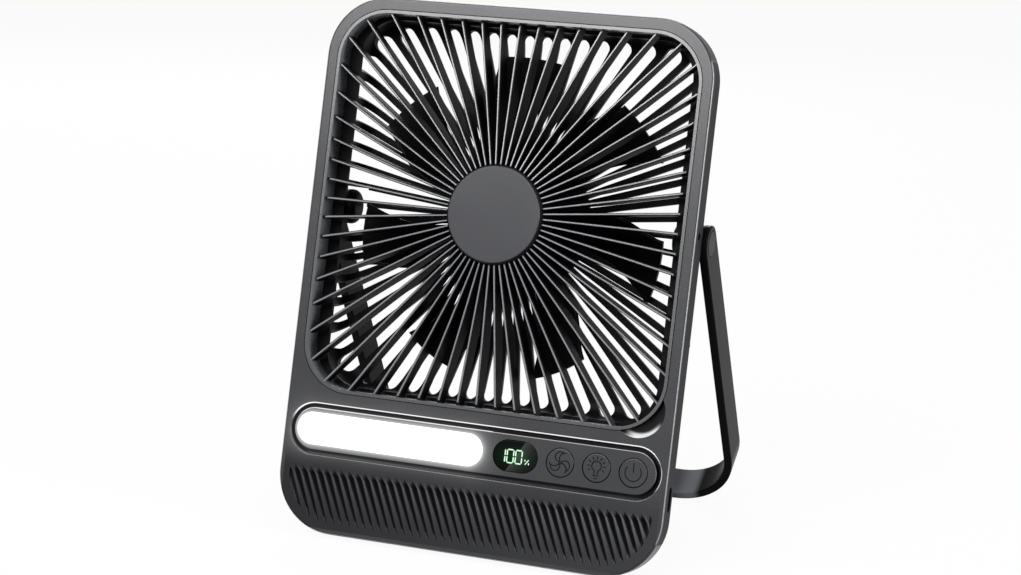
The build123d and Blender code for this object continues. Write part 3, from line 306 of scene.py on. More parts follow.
class FanStage(bpy.types.PropertyGroup):
    """The studio: camera, lamps and floor."""

    camera_place: FloatVectorProperty(
        name="Camera", description="Where the camera stands", subtype="XYZ", unit="LENGTH",
        size=3, default=(0.30249, -0.87125, 0.29498))
    camera_right: FloatVectorProperty(
        name="Camera right", description="Direction to the right of the picture",
        subtype="DIRECTION", size=3, default=(0.93909, 0.34138, 0.03950))
    camera_back: FloatVectorProperty(
        name="Camera back", description="Direction from the scene to the camera",
        subtype="DIRECTION", size=3, default=(0.32618, -0.92162, 0.21029))
    camera_lens: FloatProperty(
        name="Lens", description="Focal length on a 36 mm wide sensor", min=1, default=81.80)
    key_power: FloatProperty(
        name="Key power", description="Power of the large softbox", min=0, subtype="POWER", default=40.0)
    fill_power: FloatProperty(
        name="Fill power", description="Power of the side softbox", min=0, subtype="POWER", default=17.0)
    back_power: FloatProperty(
        name="Back power", description="Power of the softbox behind", min=0, subtype="POWER", default=16.0)
    top_power: FloatProperty(
        name="Top power", description="Power of the softbox overhead", min=0, subtype="POWER", default=8.0)
    world_strength: FloatProperty(
        name="Surroundings", description="Light from all around on dull surfaces", min=0, default=0.45)
    floor_size: FloatProperty(
        name="Floor", description="Half width of the floor", unit="LENGTH", min=0, default=6.0)
    floor_white: FloatProperty(
        name="Floor white", description="White of the floor where no shadow falls", min=0, default=0.94)


class Value:
    """A socket of a material; arithmetic on values adds Math nodes to its tree."""

    def __init__(self, tree, socket=None):
        self.tree = tree
        self.socket = socket

    def node(self, kind, settings, sockets, output=0):
        """Adds a node, sets its settings, then its sockets' values or links; gives one output."""
        made = self.tree.nodes.new(kind)
        for name, setting in settings.items():
            setattr(made, name, setting)
        for name, given in sockets.items():
            if isinstance(given, Value):
                self.tree.links.new(given.socket, made.inputs[name])
            else:
                made.inputs[name].default_value = given
        return Value(self.tree, made.outputs[output] if made.outputs else None)

    def math(self, operation, *given):
        """A Math node on the given values, in order."""
        return self.node("ShaderNodeMath", {"operation": operation}, dict(enumerate(given)))

    def __add__(self, other):
        return self.math("ADD", self, other)

    def __radd__(self, other):
        return self.math("ADD", other, self)

    def __sub__(self, other):
        return self.math("SUBTRACT", self, other)

    def __rsub__(self, other):
        return self.math("SUBTRACT", other, self)

    def __mul__(self, other):
        return self.math("MULTIPLY", self, other)

    def __rmul__(self, other):
        return self.math("MULTIPLY", other, self)

    def __truediv__(self, other):
        return self.math("DIVIDE", self, other)

    def __rtruediv__(self, other):
        return self.math("DIVIDE", other, self)

    def __pow__(self, other):
        return self.math("POWER", self, other)

    def __rpow__(self, other):
        return self.math("POWER", other, self)

    def __abs__(self):
        return self.math("ABSOLUTE", self)

    def at_least(self, other):
        """The larger of two values."""
        return self.math("MAXIMUM", self, other)

    def step(self, low, high):
        """0 below low and 1 above high, with a smooth change between; low may be the larger."""
        sockets = {"Value": self, "From Min": low, "From Max": high}
        return self.node("ShaderNodeMapRange", {"interpolation_type": "SMOOTHSTEP"}, sockets)

    def band(self, low, full_low, full_high, high):
        """1 between the two full values, falling smoothly to 0 at low and at high."""
        return self.step(low, full_low) * self.step(high, full_high)

    def fade(self, length):
        """One over e to the power of this value over length."""
        return self.math("EXPONENT", self * (-1 / length))

    def mix(self, low, high):
        """A colour that goes from low to high as this value goes from 0 to 1."""
        return self.node("ShaderNodeMix", {"data_type": "RGBA"}, {0: self, 6: low, 7: high}, 2)


def rgba(colour, scale=1.0):
    """A colour with its alpha, made lighter or darker by a factor."""
    return (colour[0] * scale, colour[1] * scale, colour[2] * scale, 1.0)


def start_material(name):
    """An empty node material, and a value to make its nodes from."""
    material = bpy.data.materials.new(name)
    material.use_nodes = True
    material.node_tree.nodes.clear()
    return material, Value(material.node_tree)


def end_material(material, root, shader):
    """Links a shader to the material's output, and gives the material."""
    root.node("ShaderNodeOutputMaterial", {}, {"Surface": shader})
    return material


def principled(root, sockets):
    """The standard shader with the given inputs."""
    return root.node("ShaderNodeBsdfPrincipled", {}, sockets)


def place(root):
    """The point on the piece, in metres, as the frame has it at rest."""
    return root.node("ShaderNodeTexCoord", {}, {}, "Object")


def along(root, axis, origin=0.0):
    """Metres along a direction, from an origin on it."""
    sockets = {0: place(root), 1: tuple(axis)}
    return root.node("ShaderNodeVectorMath", {"operation": "DOT_PRODUCT"}, sockets, "Value") - origin


def face_across(root):
    """Millimetres to the right of the front face's middle."""
    return along(root, FACE_RIGHT, FACE_CENTRE[0]) * (1 / MILLIMETRE)


def face_up(root):
    """Millimetres up the front face from its middle."""
    return along(root, FACE_UP, FACE_CENTRE[1]) * (1 / MILLIMETRE)


def face_out(root):
    """Millimetres out of the front face, negative inside the case."""
    return along(root, FACE_OUT, FACE_CENTRE[2]) * (1 / MILLIMETRE)


def noise(root, size, detail=2.0):
    """Even noise from 0 to 1 with lumps about as large as size, in metres."""
    sockets = {"Vector": place(root), "Scale": 1 / size, "Detail": detail, "Roughness": 0.55}
    return root.node("ShaderNodeTexNoise", {}, sockets)


def bump(root, height, distance):
    """A normal from a height that goes from 0 to 1 over a distance in metres."""
    return root.node("ShaderNodeBump", {}, {"Height": height, "Distance": distance, "Strength": 1.0})


def plastic_surface(root, colour, roughness, grain=0.0004, depth=0.000012, specular=0.38,
                    pale=None, glow=None):
    """Moulded plastic: a fine eroded grain, and faint clouding of the colour and the gloss.

    Where the mask for painted light is 1, a light colour takes the colour's place, and glow adds painted
    light that the surface gives off.
    """
    cloud = noise(root, CLOUD_SIZE, 3.0)
    fine = noise(root, grain)
    base = cloud.mix(rgba(colour, 0.9), rgba(colour, 1.1))
    # Painted light: a light colour stands in for highlights and lit walls where the mask is 1
    if pale is not None:
        base = pale(root).mix(base, PAINTED_LIGHT_COLOUR)
    sockets = {
        "Base Color": base,
        "Roughness": roughness + (cloud - 0.5) * 0.08 + (fine - 0.5) * 0.06,
        "Specular IOR Level": specular,
        "Normal": bump(root, fine, depth),
    }
    # Painted light that the plastic gives off, where a glow mask is given
    if glow is not None:
        sockets["Emission Color"] = glow(root)
        sockets["Emission Strength"] = 1.0
    return principled(root, sockets)


def plastic(name, colour, roughness, **more):
    """One plastic all over."""
    material, root = start_material(name)
    return end_material(material, root, plastic_surface(root, colour, roughness, **more))


def shaded_plastic(name, share, finish, **more):
    """The case's plastic with painted shade: dull black where share is 1, as deep narrow places look in
    shade.
    """
    material, root = start_material(name)
    open_side = plastic_surface(root, finish.case_colour, finish.case_roughness, **more)
    shaded_side = plastic_surface(root, finish.painted_shade_colour, SHADE_ROUGHNESS, specular=SHADE_SPECULAR)
    sockets = {0: share(root), 1: open_side, 2: shaded_side}
    return end_material(material, root, root.node("ShaderNodeMixShader", {}, sockets))


def metal(name, colour, axis, roughness, line=0.00012):
    """Drawn or turned metal: fine lines across the given axis in the gloss and the height."""
    material, root = start_material(name)
    sockets = {"W": along(root, axis) * (1 / line), "Scale": 1.0, "Detail": 3.0}
    lines = root.node("ShaderNodeTexNoise", {"noise_dimensions": "1D"}, sockets)
    cloud = noise(root, 0.004, 3.0)
    return end_material(material, root, principled(root, {
        "Base Color": cloud.mix(rgba(colour, 0.85), rgba(colour, 1.08)),
        "Metallic": 1.0,
        "Roughness": roughness + (lines - 0.5) * 0.2,
        "Normal": bump(root, lines, 0.000004),
    }))


def rubber(name, colour):
    """Soft rubber: dull, with a fine tooth and light grey dust in it."""
    material, root = start_material(name)
    fine = noise(root, 0.0005, 4.0)
    dust = noise(root, 0.006, 4.0).step(0.45, 0.8) * 0.5
    return end_material(material, root, principled(root, {
        "Base Color": dust.mix(rgba(colour), rgba(colour, 1.8)),
        "Roughness": 0.75 + (fine - 0.5) * 0.15,
        "Specular IOR Level": 0.3,
        "Normal": bump(root, fine, 0.00003),
    }))


def banded(name, dark_colour, light_colour, axis, pitch, roughness, metallic, depth):
    """Layers or turns: smooth bands along an axis, with painted shade in the grooves between them."""
    material, root = start_material(name)
    turn = along(root, axis) * (2 * math.pi / pitch)
    wave = root.math("SINE", turn) * 0.5 + 0.5
    fine = noise(root, pitch)
    return end_material(material, root, principled(root, {
        "Base Color": wave.mix(rgba(dark_colour), rgba(light_colour)),
        "Metallic": metallic,
        "Roughness": roughness + (fine - 0.5) * 0.1,
        "Normal": bump(root, wave, depth),
    }))


def board(name, mask_colour, track_colour, track_size=0.0026):
    """Circuit board: lacquer over tracks that show as lighter lines in a square pattern."""
    material, root = start_material(name)
    sockets = {
        "Vector": place(root), "Scale": 1 / track_size, "Mortar Size": 0.10, "Mortar Smooth": 0.3,
        "Brick Width": 1.7, "Row Height": 0.55,
    }
    tracks = root.node("ShaderNodeTexBrick", {"offset": 0.37}, sockets, "Fac")
    cloud = noise(root, 0.01)
    return end_material(material, root, principled(root, {
        "Base Color": (tracks * (0.6 + cloud * 0.4)).mix(rgba(mask_colour), rgba(track_colour)),
        "Roughness": 0.28 + cloud * 0.1,
        "Normal": bump(root, tracks, 0.00003),
    }))


def line_length(run, rise):
    """Length of the line with the given run and rise."""
    return (run * run + rise * rise) ** 0.5


def stadium_away(root, extent):
    """Millimetres on the front face outside a round-ended bar, 0 or less inside it."""
    radius = (extent.top - extent.bottom) / 2
    half_run = (extent.right - extent.left) / 2 - radius
    run = (abs(face_across(root) - extent.middle[0]) - half_run).at_least(0.0)
    return line_length(run, face_up(root) - extent.middle[1]) - radius


def round_inside(root, middle, half, corner):
    """Millimetres in from the sides of a round-cornered rectangle on the front face."""
    run = (abs(face_across(root) - middle[0]) - half[0] + corner).at_least(0.0)
    rise = (abs(face_up(root) - middle[1]) - half[1] + corner).at_least(0.0)
    return corner - line_length(run, rise)


def rim_away(root):
    """Millimetres in from the outside of the guard's round-cornered ring."""
    return round_inside(root, RING_MIDDLE, RING_HALF, RING_CORNER)


def hub_away(root):
    """Millimetres outside the edge of the hub cap."""
    return line_length(face_across(root) - HUB.middle[0], face_up(root) - HUB.middle[1]) - HUB_RADIUS


def lip_highlight_share(root):
    """Painted highlight: 1 on the upper lip of the panel's pocket, and partly 1 at its right end."""
    y = face_up(root) - PANEL.middle[1]
    upper = y.step(*LIP_UPPER)
    end = face_across(root).step(*LIP_END) * abs(y + LIP_END_DROP).step(*LIP_END_HEIGHT)
    lip = stadium_away(root, PANEL).step(*LIP_REACH) * face_out(root).band(*LIP_DEPTH)
    return lip * upper.at_least(end * LIP_END_SHARE)


def notch_highlight_share(root):
    """Painted highlight: 1 along the lower rim of the finger notch, most a little to the right of straight
    down.
    """
    x = face_across(root) - NOTCH_MIDDLE[0]
    y = face_up(root) - NOTCH_MIDDLE[1]
    away = line_length(x, y)
    turn = (x * NOTCH_LIT[0] + y * NOTCH_LIT[1]) / away
    return away.band(*NOTCH_RIM) * turn.step(*NOTCH_TURN) * face_out(root).step(*NOTCH_DEPTH)


def painted_lens_glow_and_highlights(root):
    """Painted light that the plastic gives off: a halo round the lens, and painted highlights on the rims of
    the pocket and the notch.
    """
    away = stadium_away(root, LAMP).at_least(0.0)
    halo = away.fade(HALO_NEAR) * HALO_NEAR_SHARE + away.fade(HALO_FAR) * HALO_FAR_SHARE
    return (halo + lip_highlight_share(root) + notch_highlight_share(root) * NOTCH_HIGHLIGHT_GLOW).mix(BLACK, WHITE)


def face_inside(root):
    """1 on the front face and in what is cut into it, 0 on the case's edge and sides."""
    starts = FACE_HALF - EDGE_BAND[0]
    ends = FACE_HALF - EDGE_BAND[1]
    return abs(face_across(root)).step(starts[0], ends[0]) * abs(face_up(root)).step(starts[1], ends[1])


def side_painted_shade(root):
    """Painted shade: 1 on the outer sides of the case, 0 on its front edge."""
    return (1 - face_inside(root)) * face_out(root).step(*SIDE_DEPTH)


def edge_pale(root):
    """Painted highlight: 1 along the middle of the round between the front face and the sides."""
    return (1 - face_inside(root)) * face_out(root).band(*EDGE_DEPTH)


def flute_away(root):
    """0 on the middle line of each slanted flute, a half on the ridge between two."""
    across = face_across(root) + (face_up(root) - FLUTE_DEEPEST) * FLUTE_LEAN
    return abs(root.math("FRACT", across * (1 / FLUTE_PITCH)) - 0.5)


def flute_run(root):
    """0 at the flutes' upper ends and 1 at their lower ends."""
    return (FLUTE_TOP - face_up(root)) * (1 / FLUTE_LENGTH)


def flute_field(root):
    """1 where the flutes are, fading at their ends and toward the case's round corners."""
    inside = round_inside(root, (0.0, 0.0), FACE_HALF - FLUTE_MARGIN, CASE_CORNER - FLUTE_MARGIN)
    return flute_run(root).band(*FLUTE_ENDS) * inside.step(*FLUTE_INSIDE)


def face_painted_shade(root):
    """Painted shade: 1 in stripes along the flutes and on the sides, nearly 1 low in the pocket, and less
    over the foot of the face, more toward its left.
    """
    # Painted shade in slanted stripes along the flutes, narrowing downward
    flute_painted_shade = (flute_away(root) + flute_run(root) * FLUTE_NARROWING).step(*FLUTE_DARK)
    flutes = flute_field(root) * flute_painted_shade
    above_chin = 1 - face_up(root).step(*CHIN_HEIGHT)
    # Painted shade low in the pocket, kept off the notch's painted highlight
    pocket = above_chin * face_out(root).step(*POCKET_DEPTH) * (1 - notch_highlight_share(root)) * POCKET_SHARE
    # Painted shade over the foot of the face, darker toward its left
    foot = face_up(root).step(*FOOT_HEIGHT) * (FOOT_SHARE - face_across(root) * (FOOT_SLOPE / FACE_HALF[0]))
    return (face_inside(root) * (flutes + pocket).at_least(foot)).at_least(side_painted_shade(root))


def face_pale(root):
    """Painted highlight: 1 along the case's front edge, and partly 1 on the ridges between the flutes."""
    ridge = flute_field(root) * flute_away(root).step(*RIDGE_LIGHT) * flute_run(root).step(*RIDGE_RUN)
    return (ridge * RIDGE_SHARE).at_least(edge_pale(root))


def button_painted_shade(root):
    """Painted shade: 1 in the buttons' symbols and in the gaps round the buttons, 0 on top and left of the
    display.
    """
    return (PANEL.front - face_out(root)).step(*BUTTON_DEPTH) * face_across(root).step(*BUTTON_FIELD)


def ledge_painted_shade(root):
    """Painted shade: 1 inside the fan's opening, behind the guard's ring, and on the sides of the case."""
    return rim_away(root).step(*LEDGE_INSIDE).at_least(side_painted_shade(root))


def basket_painted_shade(root):
    """Painted shade: 1 in the rear guard, 0 on the outside of its back."""
    return face_out(root).step(*BASKET_DEPTH)


def rib_painted_shade(root):
    """Painted shade: 1 down the sides of the guard's ribs and close round the hub cap, 0 on the crests and
    on the ring.
    """
    away = hub_away(root)
    below_crest = CREST_AT_HUB - away * CREST_FALL - face_out(root)
    return rim_away(root).step(*RIB_FIELD) * below_crest.step(*RIB_DEPTH).at_least(away.step(*HUB_GAP))


def guard_pale(root):
    """Painted light: 1 on the ring's inner wall, and painted highlights of partly 1 on the ribs' crests,
    less on upper ones.
    """
    away = rim_away(root)
    inside = away.step(*RING_INSIDE)
    wall = face_out(root).step(*RING_DEPTH) * away.step(*RING_INNER) * (1 - inside)
    crest = inside * (CREST_SHARE - face_up(root).step(*UPPER_RIBS) * UPPER_CREST_LOSS)
    return wall.at_least(crest)


def foot_pale(root):
    """Painted highlight: 1 near the ends of the stand's foot, a half in its middle and 0 from its round
    corners up.
    """
    across = abs(face_across(root))
    return across.step(*STAND_FOOT) * (across.step(*STAND_FOOT_ENDS) * 0.5 + 0.5)


def lens_material(finish):
    """Lit milky lens: white light, weaker at its rim."""
    material, root = start_material("lit_lens")
    hot = stadium_away(root, LAMP).step(*LENS_RIM) * (1 - LENS_RIM_SHARE) + LENS_RIM_SHARE
    return end_material(material, root, principled(root, {
        "Base Color": (0.9, 0.9, 0.9, 1.0),
        "Roughness": 0.3 + noise(root, 0.003) * 0.1,
        "Emission Color": hot.mix(BLACK, rgba(finish.lamp_colour)),
        "Emission Strength": finish.lamp_strength,
    }))


def window_material():
    """Smoked glossy window: a faint green painted glow round the digits, and a slanted painted reflection
    right of its middle.
    """
    material, root = start_material("smoked_window")
    x = face_across(root) - WINDOW.middle[0]
    y = face_up(root) - WINDOW.middle[1]
    digit_glow = (x * x * (1 / DIGIT_GLOW_HALF[0] ** 2) + y * y * (1 / DIGIT_GLOW_HALF[1] ** 2)).fade(1.0)
    slant = x * PAINTED_SHEEN_ACROSS[0] + y * PAINTED_SHEEN_ACROSS[1]
    painted_sheen = slant.step(*PAINTED_SHEEN_EDGE) * slant.fade(PAINTED_SHEEN_LENGTH)
    return end_material(material, root, principled(root, {
        "Base Color": painted_sheen.mix((0.002, 0.002, 0.002, 1), (0.03, 0.03, 0.028, 1)),
        "Roughness": 0.10 + noise(root, 0.0008) * 0.04,
        "Specular IOR Level": 0.03,
        "Emission Color": digit_glow.mix(BLACK, (0.0, 0.03, 0.008, 1)),
        "Emission Strength": 1.0,
    }))


def digit_material(finish):
    """Lit segments: greenish white, with a faint mottle."""
    material, root = start_material("lit_segments")
    fine = noise(root, 0.0006)
    return end_material(material, root, principled(root, {
        "Base Color": (0.02, 0.05, 0.03, 1),
        "Roughness": 0.3 + fine * 0.1,
        "Emission Color": fine.mix(rgba(finish.digit_colour, 0.92), rgba(finish.digit_colour)),
        "Emission Strength": finish.digit_strength,
    }))


def dress(material, *nodes):
    """Gives CAD nodes one material in every slot."""
    for name in nodes:
        mesh = frame["nodes"][name].data
        mesh.materials.clear()
        mesh.materials.append(material)


def bars(ends, width, height, floor, points=8, blunt=0.3):
    """Lit segments, one closed bar for each row of ends.

    A round section, flattened to the height, is carried along the line between two ends. Four sections
    make a bar: one at each end, narrowed to the blunt share, and one half a width in from each end.
    """
    ends = np.asarray(ends, float).reshape(-1, 2, 2)
    span = ends[:, 1] - ends[:, 0]
    length = np.linalg.norm(span, axis=1, keepdims=True)
    run = span / length
    side = np.stack([-run[:, 1], run[:, 0]], axis=1)
    inset = width / 2 / length
    shares = np.stack([0 * inset, inset, 1 - inset, 0 * inset + 1], axis=1)
    line = ends[:, None, 0] + shares * span[:, None]
    turn = (np.arange(points) + 0.5) * (2 * np.pi / points)
    across = np.array([blunt, 1.0, 1.0, blunt])[:, None] * np.cos(turn) * width / 2
    up = floor + height * (np.sin(turn) + 1) / 2
    spots = line[:, :, None] + side[:, None, None] * across[None, :, :, None]
    heights = np.broadcast_to(up, spots.shape[:3])
    return np.concatenate([spots, heights[..., None]], axis=3)


def bar_faces(count, rings, points):
    """Quads between the sections of every bar, and the two closed ends."""
    ring = np.arange(points)
    after = np.roll(ring, -1)
    row = np.arange(rings - 1)[:, None] * points
    start = np.arange(count)[:, None] * rings * points
    quad = np.stack([row + ring, row + after, row + points + after, row + points + ring], 2)
    quads = quad.reshape(-1, 4)[None] + start[:, None]
    first = ring[::-1][None] + start
    last = ring[None] + start + (rings - 1) * points
    return quads.reshape(-1, 4).tolist() + first.tolist() + last.tolist()


def new_piece(name, points, faces, material, body):
    """A mesh piece in the frame's own metres, that rides on a CAD body."""
    mesh = bpy.data.meshes.new(name)
    mesh.from_pydata(points.tolist(), [], faces)
    mesh.validate()
    mesh.materials.append(material)
    piece = bpy.data.objects.new(name, mesh)
    bpy.context.scene.collection.objects.link(piece)
    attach(piece, body)


def lit_segments(name, ends, width, sizes, material):
    """A piece of lit segments on the display window."""
    shape = bars(ends, width, sizes.segment_height, WINDOW.front - sizes.segment_sink)
    faces = bar_faces(*shape.shape[:3])
    new_piece(name, to_world(shape.reshape(-1, 3)), faces, material, "case")


def digit_ends(centre, sizes, strokes):
    """Ends of a digit's lit strokes: t and b across its top and bottom, ul, ur, ll and lr up its sides."""
    x, y = centre
    gap = sizes.segment_gap
    left, right = x - sizes.digit_width / 2, x + sizes.digit_width / 2
    bottom, top = y - sizes.digit_height / 2, y + sizes.digit_height / 2
    known = {
        "t": [(left + gap, top), (right - gap, top)],
        "b": [(left + gap, bottom), (right - gap, bottom)],
        "ul": [(left, y + gap), (left, top - gap)],
        "ur": [(right, y + gap), (right, top - gap)],
        "ll": [(left, bottom + gap), (left, y - gap)],
        "lr": [(right, bottom + gap), (right, y - gap)],
    }
    return [known[stroke] for stroke in strokes]


def percent_ends(sign, tall, slant=0.36, dot_across=0.4, dot_up=0.3, dot_half=0.22):
    """Ends of a percent sign's slanted stroke and of its two dots, each a short upright stroke.

    The stroke's slant and the dots' places and half height are shares of the sign's height.
    """
    ends = [[sign + (-tall * slant, -tall / 2), sign + (tall * slant, tall / 2)]]
    for side in (-1, 1):
        dot = sign + (side * tall * dot_across, -side * tall * dot_up)
        ends.append([dot - (0, tall * dot_half), dot + (0, tall * dot_half)])
    return ends


class FAN_OT_case(bpy.types.Operator):
    """Dress the case, the control panel and the feet"""

    bl_idname = "portable_fan.case"
    bl_label = "Case and panel"

    def execute(self, context):
        finish = context.scene.fan_finish
        # Painted shade, painted highlights and painted glow on the case's front shell
        front = shaded_plastic("case_plastic", face_painted_shade, finish, pale=face_pale, glow=painted_lens_glow_and_highlights)
        dress(front, "front_shell")
        # Painted shade on the ledge inside the opening and on the rear shell's sides
        dress(shaded_plastic("rear_plastic", ledge_painted_shade, finish), "rear_shell")
        # Painted shade in the button gaps and painted glow round the lens on the panel
        dress(shaded_plastic("panel_plastic", button_painted_shade, finish, glow=painted_lens_glow_and_highlights), "control_panel")
        # Painted shade in the buttons' engraved symbols and round their edges
        buttons = shaded_plastic("button_plastic", button_painted_shade, finish)
        dress(buttons, "button_fan", "button_light", "button_power")
        dress(rubber("foot_rubber", (0.02, 0.02, 0.02)), "base_feet")
        return {"FINISHED"}


class FAN_OT_guards(bpy.types.Operator):
    """Dress the front guard, its hub cap and the rear guard"""

    bl_idname = "portable_fan.guards"
    bl_label = "Guards"

    def execute(self, context):
        finish = context.scene.fan_finish
        # Painted shade down the ribs' sides and round the hub, painted light on the ring's wall and crests
        front = shaded_plastic("guard_plastic", rib_painted_shade, finish, pale=guard_pale, specular=0.8)
        dress(front, "front_grille")
        dress(plastic("hub_plastic", finish.hub_colour, roughness=0.3, specular=0.32), "hub_cap")
        # Painted shade inside the rear guard
        dress(shaded_plastic("rear_guard_plastic", basket_painted_shade, finish), "rear_grille")
        return {"FINISHED"}


class FAN_OT_rotor(bpy.types.Operator):
    """Dress the fan blades and the motor"""

    bl_idname = "portable_fan.rotor"
    bl_label = "Blades and motor"

    def execute(self, context):
        finish = context.scene.fan_finish
        dress(plastic("blade_plastic", finish.blade_colour, roughness=0.3, specular=0.045), "fan_impeller")
        dress(metal("zinc_can", (0.55, 0.55, 0.56), FACE_OUT, roughness=0.35), "rotor_can")
        ferrite = plastic("ferrite", (0.05, 0.048, 0.046), roughness=0.55, grain=0.0002, depth=0.00003)
        dress(ferrite, "rotor_magnet")
        steel = metal("ground_steel", (0.62, 0.62, 0.63), FACE_OUT, roughness=0.2)
        dress(steel, "motor_shaft", "hinge_pins")
        bronze = metal("sintered_bronze", (0.5, 0.36, 0.2), FACE_OUT, roughness=0.45, line=0.0003)
        dress(bronze, "motor_bearings")
        core = banded("core_layers", (0.2, 0.2, 0.21), (0.45, 0.45, 0.46), FACE_OUT,
                      pitch=0.0005, roughness=0.45, metallic=1.0, depth=0.00002)
        dress(core, "motor_stator")
        wire = banded("enamel_wire", (0.3, 0.09, 0.03), (0.75, 0.33, 0.13), FACE_UP,
                      pitch=0.0003, roughness=0.3, metallic=1.0, depth=0.00008)
        dress(wire, "motor_coils")
        aluminium = metal("cast_aluminium", (0.55, 0.55, 0.57), FACE_OUT, roughness=0.5, line=0.0008)
        dress(aluminium, "motor_base")
        return {"FINISHED"}


class FAN_OT_lamp(bpy.types.Operator):
    """Dress the lit lens and the lamp board behind it"""

    bl_idname = "portable_fan.lamp"
    bl_label = "Lamp"

    def execute(self, context):
        dress(lens_material(context.scene.fan_finish), "lamp_lens")
        dress(board("lamp_board", (0.75, 0.75, 0.73), (0.85, 0.85, 0.84)), "led_board")
        dress(plastic("phosphor", (0.85, 0.72, 0.2), roughness=0.4, grain=0.0002), "led_chips")
        return {"FINISHED"}


class FAN_OT_display(bpy.types.Operator):
    """Dress the display and build its lit segments"""

    bl_idname = "portable_fan.display"
    bl_label = "Display"

    def execute(self, context):
        sizes = context.scene.fan_display
        dress(window_material(), "display_window")
        dress(plastic("display_back", (0.02, 0.02, 0.022), roughness=0.4), "display_module")
        lit = digit_material(context.scene.fan_finish)
        pitch = (sizes.digit_pitch, 0)
        first = WINDOW.middle + (sizes.digits_across, sizes.digits_up)
        ends = digit_ends(first - pitch, sizes, ["ur", "lr"])
        for centre in (first, first + pitch):
            ends += digit_ends(centre, sizes, ["t", "b", "ul", "ur", "ll", "lr"])
        lit_segments("display_digits", ends, sizes.segment_width, sizes, lit)
        drop = (sizes.digit_height - sizes.percent_height) / 2
        sign = WINDOW.middle + (sizes.percent_across, sizes.digits_up - drop)
        ends = percent_ends(sign, sizes.percent_height)
        lit_segments("percent_sign", ends, sizes.percent_width, sizes, lit)
        return {"FINISHED"}


class FAN_OT_stand(bpy.types.Operator):
    """Dress the swing stand and its hinge"""

    bl_idname = "portable_fan.stand"
    bl_label = "Stand"

    def execute(self, context):
        colour = context.scene.fan_finish.stand_colour
        # Painted highlight near the ends of the stand's foot
        paint = plastic("stand_paint", colour, roughness=0.22, grain=0.0006, depth=0.000008,
                        specular=0.012, pale=foot_pale)
        dress(paint, "stand_frame")
        dress(rubber("pad_rubber", (0.018, 0.018, 0.018)), "stand_pad")
        dress(plastic("pivot_cap_plastic", colour, roughness=0.4, specular=0.1), "pivot_caps")
        dress(metal("bush_brass", (0.60, 0.42, 0.16), FACE_RIGHT, roughness=0.3), "hinge_bushes")
        dress(plastic("washer_nylon", (0.05, 0.05, 0.05), roughness=0.35), "hinge_washers")
        return {"FINISHED"}


class FAN_OT_electronics(bpy.types.Operator):
    """Dress the boards, the switches, the socket and the battery"""

    bl_idname = "portable_fan.electronics"
    bl_label = "Electronics"

    def execute(self, context):
        dress(board("main_board_lacquer", (0.01, 0.09, 0.035), (0.03, 0.2, 0.08)), "main_board")
        dress(plastic("switch_plastic", (0.04, 0.04, 0.042), roughness=0.5, grain=0.0003), "tact_switches")
        dress(metal("socket_steel", (0.5, 0.5, 0.51), FACE_RIGHT, roughness=0.28), "usb_socket")
        wrap = banded("cell_wrap", (0.01, 0.10, 0.22), (0.015, 0.13, 0.27), FACE_RIGHT,
                      pitch=0.004, roughness=0.3, metallic=0.0, depth=0.00002)
        dress(wrap, "battery_cells")
        dress(metal("nickel_strip", (0.66, 0.63, 0.58), FACE_UP, roughness=0.3), "battery_tabs")
        dress(plastic("cradle_plastic", (0.03, 0.03, 0.031), roughness=0.5), "battery_cradle")
        return {"FINISHED"}


class FAN_OT_fasteners(bpy.types.Operator):
    """Dress every screw"""

    bl_idname = "portable_fan.fasteners"
    bl_label = "Fasteners"

    def execute(self, context):
        black_zinc = metal("black_zinc", (0.09, 0.09, 0.095), FACE_UP, roughness=0.35)
        dress(black_zinc, "case_screws", "grille_screws", "board_screws", "motor_screws")
        return {"FINISHED"}


def softbox(name, spot, target, size, power):
    """A soft lamp, aimed from a spot to a target, that the camera itself doesn't see."""
    data = bpy.data.lights.new(name, "AREA")
    data.shape = "RECTANGLE"
    data.size, data.size_y = size
    data.energy = power
    lamp = bpy.data.objects.new(name, data)
    turn = (Vector(target) - Vector(spot)).to_track_quat("-Z", "Y").to_matrix().to_4x4()
    lamp.matrix_world = Matrix.Translation(spot) @ turn
    lamp.visible_camera = False
    bpy.context.scene.collection.objects.link(lamp)


def seen_rays(root):
    """1 for rays from the camera and for those that metal and glass send on, else 0."""
    kinds = ("Is Camera Ray", "Is Glossy Ray", "Is Transmission Ray")
    camera, glossy, through = [root.node("ShaderNodeLightPath", {}, {}, kind) for kind in kinds]
    return camera.at_least(glossy).at_least(through)


def floor_material(stage):
    """White floor: it glows to the eye, and the dull part of it keeps the object's shadow."""
    material, root = start_material("studio_floor")
    grey = noise(root, FLOOR_CLOUD).mix(*FLOOR_GREYS)
    dull = root.node("ShaderNodeBsdfDiffuse", {}, {"Color": grey})
    white = root.node("ShaderNodeEmission", {}, {"Color": WHITE, "Strength": 1.0})
    sockets = {0: seen_rays(root) * stage.floor_white, 1: dull, 2: white}
    return end_material(material, root, root.node("ShaderNodeMixShader", {}, sockets))


def make_floor(stage):
    """A square floor under the object."""
    half = stage.floor_size
    corners = [(-half, -half, 0), (half, -half, 0), (half, half, 0), (-half, half, 0)]
    mesh = bpy.data.meshes.new("studio_floor")
    mesh.from_pydata(corners, [], [(0, 1, 2, 3)])
    mesh.materials.append(floor_material(stage))
    floor = bpy.data.objects.new("studio_floor", mesh)
    bpy.context.scene.collection.objects.link(floor)


def make_world(stage):
    """Surroundings that are white to the eye and weaker as light on dull surfaces."""
    world = bpy.data.worlds.new("studio_white")
    world.use_nodes = True
    world.node_tree.nodes.clear()
    root = Value(world.node_tree)
    strength = seen_rays(root) * (1 - stage.world_strength) + stage.world_strength
    white = root.node("ShaderNodeBackground", {}, {"Color": WHITE, "Strength": strength})
    root.node("ShaderNodeOutputWorld", {}, {"Surface": white})
    bpy.context.scene.world = world


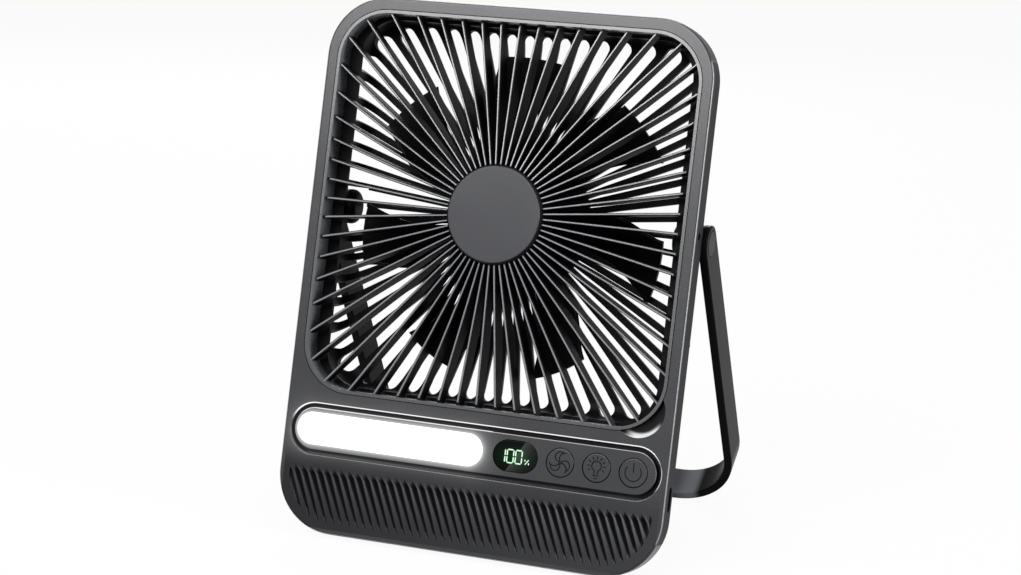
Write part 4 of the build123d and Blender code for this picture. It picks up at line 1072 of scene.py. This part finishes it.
def make_camera(stage):
    """The camera that matches the photograph's view."""
    data = bpy.data.cameras.new("photo_camera")
    data.lens = stage.camera_lens
    data.sensor_width = SENSOR_WIDTH
    camera = bpy.data.objects.new("photo_camera", data)
    back = Vector(stage.camera_back).normalized()
    right = Vector(stage.camera_right)
    right = (right - right.dot(back) * back).normalized()
    turn = Matrix((right, back.cross(right), back)).transposed().to_4x4()
    camera.matrix_world = Matrix.Translation(stage.camera_place) @ turn
    bpy.context.scene.collection.objects.link(camera)
    bpy.context.scene.camera = camera


class FAN_OT_stage(bpy.types.Operator):
    """Set up the floor, the surroundings, the softboxes and the camera"""

    bl_idname = "portable_fan.stage"
    bl_label = "Studio"

    def execute(self, context):
        stage = context.scene.fan_stage
        make_floor(stage)
        make_world(stage)
        for name, (spot, aim_height, size) in SOFTBOXES.items():
            softbox(name + "_softbox", spot, (0, 0, aim_height), size, getattr(stage, name + "_power"))
        make_camera(stage)
        context.scene.view_settings.view_transform = "Standard"
        return {"FINISHED"}


class FAN_PT_looks(bpy.types.Panel):
    """Lists the fan's operators in the sidebar"""

    bl_idname = "FAN_PT_looks"
    bl_label = "Portable fan"
    bl_space_type = "VIEW_3D"
    bl_region_type = "UI"
    bl_category = "Fan"

    def draw(self, context):
        for operator in OPERATORS:
            self.layout.operator(operator.bl_idname)


GROUPS = {"fan_finish": FanFinish, "fan_display": FanDisplay, "fan_stage": FanStage}
OPERATORS = (
    FAN_OT_case, FAN_OT_guards, FAN_OT_rotor, FAN_OT_lamp, FAN_OT_display,
    FAN_OT_stand, FAN_OT_electronics, FAN_OT_fasteners, FAN_OT_stage,
)


def register():
    """Adds the classes to Blender, and the groups of sizes to every scene."""
    for name, group in GROUPS.items():
        bpy.utils.register_class(group)
        setattr(bpy.types.Scene, name, PointerProperty(type=group))
    for part in OPERATORS + (FAN_PT_looks,):
        bpy.utils.register_class(part)


def unregister():
    """Takes away what register added."""
    for part in (FAN_PT_looks,) + OPERATORS[::-1]:
        bpy.utils.unregister_class(part)
    for name, group in GROUPS.items():
        delattr(bpy.types.Scene, name)
        bpy.utils.unregister_class(group)


def main():
    """Registers the add-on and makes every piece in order."""
    register()
    for operator in OPERATORS:
        family, name = operator.bl_idname.split(".")
        getattr(getattr(bpy.ops, family), name)()


if __name__ == "__main__":
    main()
